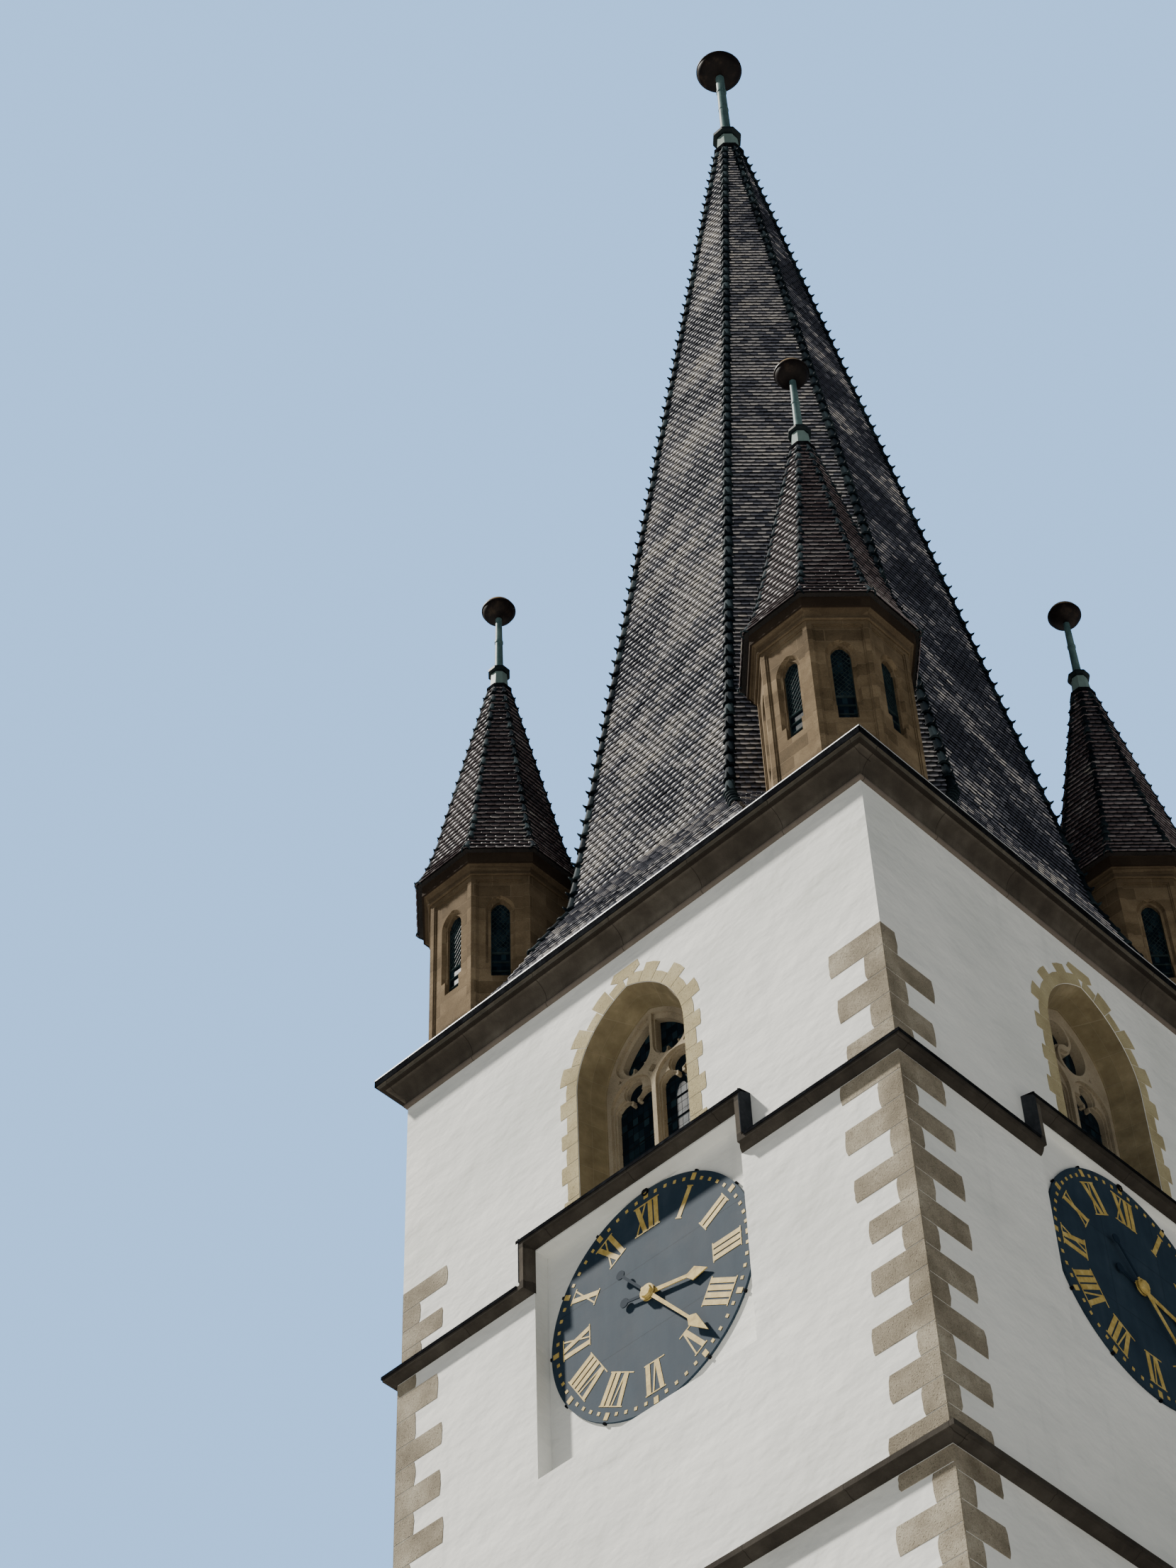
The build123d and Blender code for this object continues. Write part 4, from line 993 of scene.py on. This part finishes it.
def quoins(side):
    """Long and short stones up both corners of a side, which stop half-way up the belfry."""
    form = bmesh.new()
    shaft = on_wall(side, -shaft_proud)
    for end in (-1, 1):
        lead = (side in ("front", "back")) == (end > 0)
        tall = side == "right" or (side != "left" and (side == "front") == (end > 0))
        belfry_rise, belfry_count = tall_quoins if tall else low_quoins
        for low, high, number, matrix in (
            (plinth_top, lower_string_bottom, 0, shaft),
            (lower_string_top, string_bottom, 0, shaft),
            (string_top + quoin_joint, string_top + belfry_rise, side in ("right", "left"), on_wall(side)),
        ):
            in_belfry = low > string_bottom
            edge = SIDES[side][1] + (0 if in_belfry else shaft_proud)
            level = low + quoin_joint / 2
            while level < high - quoin_stop:
                height = rng.uniform(*quoin_heights)
                if in_belfry:
                    height = (high - low) / belfry_count
                if high - level - height < least_quoin:
                    height = high - level
                long = (number % 2 == 0) == lead
                inner = end * (edge - rng.uniform(*(long_quoins if long else short_quoins)))
                outer = end * (edge + stone_lap)
                ragged_block(form, matrix, outer, inner, level, level + height - quoin_joint)
                level += height
                number += 1
    return form


def arch_point(half, centre, share, out=0.0):
    """Point on a pointed arch's right side, a share of the way from springing to apex, pushed outwards."""
    radius = half + centre
    top = math.acos(centre / radius)
    angle = top * share
    return (radius + out) * math.cos(angle) - centre, (radius + out) * math.sin(angle)


def jamb_stones(form, matrix, end):
    """Stones up one jamb of a belfry window, alternately long and short."""
    level = belfry_base + 0.002
    for number, height in enumerate(jamb_heights):
        reach = (long_jamb if number % 2 == 0 else short_jamb) + rng.uniform(*surround_unevenness)
        high = level + height - surround_joint
        ragged_block(form, matrix, end * (window_half + stone_lap), end * reach, level, high, 0.005, 0.003)
        level += height


def arch_stones(form, matrix, end):
    """Stones up one half of a belfry window's arch, alternately short and long."""
    count = arch_stones_each_side
    for number in range(count):
        reach = (long_arch if number % 2 == 1 else short_arch) + rng.uniform(*surround_unevenness)
        if number == count - 1:
            reach = apex_arch
        first = (number + arch_joint_share) / count
        last = (number + 1 - arch_joint_share) / count
        middle = (first + last) / 2
        outline = []
        for share, out in (
            (first, stone_lap), (middle, stone_lap), (last, stone_lap),
            (last, reach), (middle, reach + arch_bulge), (first, reach),
        ):
            x, y = arch_point(window_half, window_centre, share, out)
            outline.append((end * max(x, 0.002), window_spring + y))
        plate(form, outline if end > 0 else outline[::-1], stone_sunk, stone_proud, matrix, stone_arris)


def window_surround(side):
    """Yellow stones round a belfry window, in the face of the plaster, with one over its apex."""
    form = bmesh.new()
    matrix = on_wall(side)
    for end in (-1, 1):
        jamb_stones(form, matrix, end)
        arch_stones(form, matrix, end)
    apex = window_spring + arch_point(window_half, window_centre, 1)[1]
    outline = [(x, apex + y) for x, y in apex_stone]
    plate(form, outline, stone_sunk, stone_proud + 0.0005, matrix, stone_arris)
    return form


for side in SIDES:
    piece(f"quoins_{side}", quoins(side), quoin_stone)
for side in SIDES:
    piece(f"window_surround_{side}", window_surround(side), surround_stone)


# Sheet metal on the string courses and the cornice

sheet_lap = 0.001
sheet_rise = 0.006
string_sheet_out = string_out + 0.008
string_sheet_lip = string_slope + 0.022
string_sheet_edge = 0.005
string_sheet_heel = 0.0005
leg_sheet_out = string_out + 0.003
leg_sheet_gap = 0.004
cornice_sheet_out = cornice_out + 0.012
cornice_sheet_cover = 0.082
cornice_lip = 0.066
cornice_lip_thickness = 0.009
cornice_lip_drop = 0.004
cornice_rim_out = cornice_out + 0.014
cornice_rim_width = 0.008


def mitre(form, side):
    """Cuts a form back to the diagonal planes at both corners of its side."""
    right, outward = directions(side)
    for end in (-1, 1):
        corner = on_wall(side) @ Vector((end * SIDES[side][1], 0, 0))
        geometry = form.verts[:] + form.edges[:] + form.faces[:]
        cut = bmesh.ops.bisect_plane(
            form, geom=geometry, plane_co=corner, plane_no=right * end - outward, clear_outer=True
        )
        edges = [item for item in cut["geom_cut"] if isinstance(item, bmesh.types.BMEdge)]
        bmesh.ops.holes_fill(form, edges=edges)


def string_flashing(side):
    """Black sheet along the sloping top of the stepped string course, with a lip over its face."""
    form = bmesh.new()
    end = SIDES[side][1] + string_out + 0.02
    inner = string_sheet_out - string_sheet_edge
    profile = (
        (-sheet_lap, sheet_rise), (string_sheet_out, sheet_rise - string_slope),
        (string_sheet_out, -string_sheet_lip), (inner, -string_sheet_lip), (inner, -string_slope),
        (-sheet_lap, string_sheet_heel),
    )
    for level, low, high in (
        (string_top, string_leg, end), (string_top, -end, -string_leg),
        (belfry_base, -string_leg, string_leg),
    ):
        plate(form, [(x, level + y) for x, y in profile], low, high, section_of(side))
    mitre(form, side)
    return form


def leg_cladding(side):
    """Slate-grey sheet on the outer sides of the string course's legs."""
    form = bmesh.new()
    out = leg_sheet_out
    for edge in (-1, 1):
        inner = edge * string_leg
        outer = edge * (string_leg + sheet_rise)
        slope = edge * string_slope
        profile = ((inner, -sheet_lap), (outer, -sheet_lap), (outer - slope, out), (inner - slope, out))
        plate(form, profile, leg_sheet_gap / 2 - belfry_base, -string_top - leg_sheet_gap, plan_of(side))
    return form


def cornice_flashing(side):
    """Black sheet over the cornice's edge, with a turned-down lip."""
    form = bmesh.new()
    matrix = on_wall(side)
    out = cornice_sheet_out
    end = SIDES[side][1] + out
    box(form, (-end, cornice_top, out - cornice_sheet_cover), (end, cornice_top + 0.003, out), matrix)
    box(
        form, (-end, cornice_top - cornice_lip, out - cornice_lip_thickness),
        (end, cornice_top - cornice_lip_drop, out), matrix, 0.001
    )
    return form


def cornice_rim(side):
    """Pale rim along the upper edge of the cornice's sheet: a painted highlight on the sheet's top edge."""
    form = bmesh.new()
    out = cornice_rim_out
    end = SIDES[side][1] + out
    low = (-end, cornice_top - cornice_lip_drop, out - cornice_rim_width)
    box(form, low, (end, cornice_top + sheet_rise, out), on_wall(side), 0.001)
    return form


for side in SIDES:
    piece(f"string_flashing_{side}", string_flashing(side), black_metal)
    piece(f"leg_cladding_{side}", leg_cladding(side), slate_metal)
    piece(f"cornice_flashing_{side}", cornice_flashing(side), black_metal)
    piece(f"cornice_rim_{side}", cornice_rim(side), rim_highlight)


# Clock dials

NUMERALS = ("XII", "I", "II", "III", "IIII", "V", "VI", "VII", "VIII", "IX", "X", "XI")
LETTER_WIDTHS = {"I": 0.040, "V": 0.110, "X": 0.110}
letter_gap = 0.015
numeral_inner = 0.585
numeral_height = 0.265
thick_stroke = 0.040
thin_stroke = 0.013
serif = 0.009
serif_past = 0.011
# How much lower than a thick stroke the thin strokes and the serifs lie
thin_step = 0.0004
serif_step = 0.0008
marks_low, marks_high = -0.002, 0.003
hour_block = (0.021, 0.892, 0.948)
minute_square = (0.0135, 0.892, 0.919)
peg_half = 0.011
peg_inner, peg_outer = dial_radius - 0.004, dial_radius + 0.014
peg_back, peg_front = -0.018, 0.004
ring_radius = 0.026
ring_wire = 0.007
ring_level = dial_radius - 0.02
ring_out = 0.009


def stroke(form, foot, head, width, matrix, lower=0.0):
    """Stroke of a letter from its foot to its head, as wide as given along the line of writing."""
    outline = ((foot, 0), (foot + width, 0), (head + width, numeral_height), (head, numeral_height))
    plate(form, outline, marks_low, marks_high - lower, matrix)


def letter(form, sign, left, matrix):
    """The strokes of an I, V or X; a thin stroke lies a little lower, and the thick one crosses over it."""
    right = left + LETTER_WIDTHS[sign]
    if sign == "I":
        stroke(form, left, left, thick_stroke, matrix)
    if sign == "V":
        foot = (left + right) / 2 - thick_stroke * 0.35
        stroke(form, foot, left, thick_stroke, matrix)
        stroke(form, foot + thick_stroke * 0.7, right - thin_stroke, thin_stroke, matrix, thin_step)
    if sign == "X":
        stroke(form, right - thick_stroke, left, thick_stroke, matrix)
        stroke(form, left, right - thin_stroke, thin_stroke, matrix, thin_step)


def dial_place(side, hour):
    """Matrix on a dial's face with y outwards along the hour's radius."""
    right, out = directions(side)
    centre = on_wall(side, dial_depths[side]) @ Vector((0, dial_level, 0))
    angle = math.radians(30 * hour)
    outward = UP * math.cos(angle) + right * math.sin(angle)
    return frame_at(centre, outward.cross(out), outward, out)


def raised_mark(form, size, place):
    """A raised mark: its half-width, and its inner and outer radius on the dial."""
    half, inner, outer = size
    box(form, (-half, inner, marks_low), (half, outer, marks_high), place)


def dial_marks(side):
    """Raised gilt numerals, a block at each hour and a small square at each minute between."""
    form = bmesh.new()
    for hour, text in enumerate(NUMERALS):
        place = dial_place(side, hour)
        letters = place @ Matrix.Translation((0, numeral_inner, 0))
        width = sum(LETTER_WIDTHS[sign] for sign in text) + letter_gap * (len(text) - 1)
        left = -width / 2
        for sign in text:
            letter(form, sign, left, letters)
            left += LETTER_WIDTHS[sign] + letter_gap
        half = width / 2 + serif_past
        for y in (0, numeral_height - serif):
            box(form, (-half, y, marks_low), (half, y + serif, marks_high - serif_step), letters)
        raised_mark(form, hour_block, place)
        for minute in range(1, 5):
            raised_mark(form, minute_square, dial_place(side, hour + minute / 5))
    return form


def dial_ironwork(side):
    """Pegs behind the rim at the hours, and the lifting ring at the top."""
    form = bmesh.new()
    for hour in range(12):
        low = (-peg_half, peg_inner, peg_back)
        box(form, low, (peg_half, peg_outer, peg_front), dial_place(side, hour), 0.002)
    upright = Matrix.Translation((ring_radius, 0, 0)) @ Matrix.Rotation(math.pi / 2, 4, "X")
    wire = bmesh.ops.create_circle(form, segments=6, radius=ring_wire, matrix=upright)["verts"]
    edges = [edge for edge in form.edges if all(vert in wire for vert in edge.verts)]
    bmesh.ops.spin(
        form, geom=edges, axis=(0, 0, 1), cent=(0, 0, 0), steps=20, angle=2 * math.pi, use_merge=True
    )
    hoop = [vert for vert in form.verts if vert.co.length < 2 * ring_radius]
    top = dial_place(side, 0) @ Matrix.Translation((0, ring_level, ring_out))
    bmesh.ops.transform(form, matrix=top, verts=hoop)
    return form


for side in SIDES:
    piece(f"dial_marks_{side}", dial_marks(side), MATERIALS["gilding"])
    piece(f"dial_ironwork_{side}", dial_ironwork(side), black_metal)


# Bars and lattices in the windows

lattice_half = lancet_inner_half + 0.006
lattice_foot = lancet_sill + 0.32
lattice_head = lancet_spring + 0.13
lattice_pitch = 0.058
lattice_slant = 1.35
lattice_width = 0.004
lattice_thicknesses = (0.005, 0.006)
lattice_past = 0.25
shortest_bar = 0.01
cross_bar_levels = (lattice_foot, lattice_foot - 0.107, lattice_foot - 0.213, lancet_sill + 0.006)
cross_bar_depth = 0.012
cross_bar_half = 0.0045
top_bar_half = 0.008
frame_bar_inset = 0.003
frame_bar_half = 0.004
frame_bar_depth = 0.010
frame_bar_head = lancet_spring + 0.02
belfry_bar_count = 6
belfry_bar_pitch = 0.2
belfry_bar_start = 0.26
belfry_bar_half = window_inner_half - 0.05
belfry_bar = 0.006


def facet_frame(centre, number, apothem):
    """Matrix on a turret's side: x to the right seen from outside, y up from the cornice, z outwards."""
    angle = math.radians(45 * number - 90)
    outward = Vector((math.cos(angle), math.sin(angle), 0))
    return frame_at(Vector((*centre, cornice_top)) + outward * apothem, UP.cross(outward), UP, outward)


def clipped(x0, y0, dx, dy, half, low, high):
    """Both ends of the line through a point, kept inside a rectangle."""
    reach = [-1e9, 1e9]
    for start, step, least, most in ((x0, dx, -half, half), (y0, dy, low, high)):
        bounds = sorted(((least - start) / step, (most - start) / step))
        reach = [max(reach[0], bounds[0]), min(reach[1], bounds[1])]
    if reach[1] - reach[0] > shortest_bar:
        return [(x0 + dx * share, y0 + dy * share) for share in reach]
    return None


def strip(form, first, second, width, thickness, matrix):
    """Flat bar between two points of a plane."""
    along = Vector((second[0] - first[0], second[1] - first[1])).normalized()
    side = Vector((-along.y, along.x)) * (width / 2)
    a, b = Vector(first), Vector(second)
    plate(form, (a - side, b - side, b + side, a + side), 0, thickness, matrix)


def diamonds(form, matrix):
    """Diamond lattice in the upper part of a lancet, its bars crossing one over the other."""
    for slant, thickness in zip((-lattice_slant, lattice_slant), lattice_thicknesses):
        level = lattice_foot - lattice_past
        while level < lattice_head + lattice_past:
            ends = clipped(0, level, 1, slant, lattice_half, lattice_foot, lattice_head)
            if ends:
                strip(form, *ends, lattice_width, thickness, matrix)
            level += lattice_pitch


def lancet_lattice(corner):
    """Lattice in each lancet of a turret, and cross bars on the three panes below it."""
    form = bmesh.new()
    across, along = TURRETS[corner]
    outermost = HEADINGS.index(corner)
    for turn in (-2, -1, 0, 1, 2):
        centre = (across * turret_x, along * turret_y)
        matrix = facet_frame(centre, outermost + turn, turret_apothem - lancet_depth)
        diamonds(form, matrix)
        for level in cross_bar_levels:
            half = top_bar_half if level == lattice_foot else cross_bar_half
            low = (-lattice_half, level - half, 0)
            box(form, low, (lattice_half, level + half, cross_bar_depth), matrix)
        for end in (-1, 1):
            x = end * (lancet_inner_half - frame_bar_inset)
            high = (x + frame_bar_half, frame_bar_head, frame_bar_depth)
            box(form, (x - frame_bar_half, lancet_sill, 0), high, matrix)
    return form


def belfry_bars(side):
    """Iron saddle bars across the belfry glass, just outside it."""
    form = bmesh.new()
    half = belfry_bar_half
    for k in range(belfry_bar_count):
        level = belfry_base + belfry_bar_start + k * belfry_bar_pitch
        box(form, (-half, level, 0.0), (half, level + belfry_bar, belfry_bar), on_wall(side, glass_depth))
    return form


for corner in TURRETS:
    piece(f"lancet_lattice_{corner}", lancet_lattice(corner), lattice_metal)
for side in SIDES:
    piece(f"belfry_bars_{side}", belfry_bars(side), black_metal)


# Slit windows and the portal

slit_stones = 4
long_slit_stone = 0.17
short_slit_stone = 0.11
lintel_past = 0.12
lintel_rise = 0.12
sill_past = 0.13
sill_drop = 0.085
sill_proud = 0.03
door_depth = 0.34
strap_levels = (0.32, 0.98)
strap = ((-0.5, -0.03), (0.3, -0.012), (0.36, 0), (0.3, 0.012), (-0.5, 0.03))
strap_thickness = 0.008
stud_rows, stud_columns = 7, 6
stud_foot, stud_left = 0.12, -0.42
stud_rise, stud_pitch = 0.19, 0.168
stud_radius, stud_tip, stud_depth = 0.011, 0.004, 0.014


def slit_surrounds(side):
    """Stone frame round each slit window of the shaft, with a sill."""
    form = bmesh.new()
    matrix = on_wall(side, -shaft_proud)
    half = slit_half + slit_splay
    for level in slit_levels:
        low = level - slit_height / 2 - slit_splay
        high = level + slit_height / 2 + slit_splay
        pitch = (high - low) / slit_stones
        for end in (-1, 1):
            for k in range(slit_stones):
                reach = half + (long_slit_stone if k % 2 else short_slit_stone)
                bottom = low + pitch * k
                top = bottom + pitch - surround_joint
                ragged_block(form, matrix, end * half, end * reach, bottom, top)
        lintel = (half + lintel_past, high + lintel_rise, stone_proud)
        box(form, (-half - lintel_past, high + 0.002, stone_sunk), lintel, matrix, stone_arris)
        sill = (half + sill_past, low - 0.003, sill_proud)
        box(form, (-half - sill_past, low - sill_drop, stone_sunk), sill, matrix, 0.004)
    return form


def portal_ironwork():
    """Strap hinges and studs on the portal's door."""
    form = bmesh.new()
    matrix = on_wall("front", door_depth - shaft_proud)
    for level in strap_levels:
        plate(form, [(x, level + y) for x, y in strap], 0, strap_thickness, matrix, 0.001)
    for row in range(stud_rows):
        for column in range(stud_columns):
            place = (stud_left + column * stud_pitch, stud_foot + row * stud_rise, 0.006)
            spot = matrix @ Matrix.Translation(place)
            bmesh.ops.create_cone(
                form, cap_ends=True, segments=6, radius1=stud_radius, radius2=stud_tip, depth=stud_depth,
                matrix=spot
            )
    return form


for side in SIDES:
    piece(f"slit_surrounds_{side}", slit_surrounds(side), quoin_stone)
piece("portal_ironwork", portal_ironwork(), black_metal)


# Camera, solved from the photograph: it looks steeply up at the front right corner
camera_place = Vector((11.403, -15.190, 0.80))
camera_azimuth = math.radians(-42.732)
camera_elevation = math.radians(49.70)
camera_roll = math.radians(-2.225)
camera_lens = 74.18

view_out = Vector((math.sin(camera_azimuth), math.cos(camera_azimuth), 0)) * math.cos(camera_elevation)
view_out += UP * math.sin(camera_elevation)
level_right = Vector((math.cos(camera_azimuth), -math.sin(camera_azimuth), 0))
level_up = level_right.cross(view_out)
view_right = math.cos(camera_roll) * level_right + math.sin(camera_roll) * level_up
view_up = math.cos(camera_roll) * level_up - math.sin(camera_roll) * level_right
camera = bpy.data.objects.new("camera", bpy.data.cameras.new("camera"))
camera.data.lens = camera_lens
camera.data.clip_end = 500
camera.matrix_world = frame_at(camera_place, view_right, view_up, -view_out)
bpy.context.scene.collection.objects.link(camera)
bpy.context.scene.camera = camera

# Light: a soft sun from high on the left, and a pale sky all round
sun_direction = Vector((0.509, 0.353, -0.785))
sun = bpy.data.objects.new("sun", bpy.data.lights.new("sun", "SUN"))
sun.data.energy = 9.6
sun.data.angle = math.radians(3)
sun.data.color = (1.0, 0.96, 0.88)
sun.rotation_mode = "QUATERNION"
sun.rotation_quaternion = sun_direction.to_track_quat("-Z", "Y")
bpy.context.scene.collection.objects.link(sun)

# The camera sees a plain blue backdrop, and everything else is lit by a softer one
world = bpy.data.worlds.new("sky")
world.use_nodes = True
tree = world.node_tree
soft = tree.nodes["Background"]
soft.inputs["Color"].default_value = (0.50, 0.62, 0.76, 1)
soft.inputs["Strength"].default_value = 0.24
backdrop = tree.nodes.new("ShaderNodeBackground")
backdrop.inputs["Color"].default_value = (0.31, 0.56, 0.95, 1)
backdrop.inputs["Strength"].default_value = 1.62
seen = tree.nodes.new("ShaderNodeLightPath")
either = tree.nodes.new("ShaderNodeMixShader")
tree.links.new(seen.outputs["Is Camera Ray"], either.inputs[0])
tree.links.new(soft.outputs[0], either.inputs[1])
tree.links.new(backdrop.outputs[0], either.inputs[2])
tree.links.new(either.outputs[0], tree.nodes["World Output"].inputs["Surface"])
bpy.context.scene.world = world

# A plain pale floor at ground level
floor_half = 120
floor_mesh = bmesh.new()
bmesh.ops.create_grid(floor_mesh, x_segments=1, y_segments=1, size=floor_half)
floor = bpy.data.objects.new("floor", bpy.data.meshes.new("floor"))
floor_mesh.to_mesh(floor.data)
floor_mesh.free()
bpy.context.scene.collection.objects.link(floor)
floor.data.materials.append(Finish("floor_paint").finish((0.40, 0.40, 0.39), 0.9))
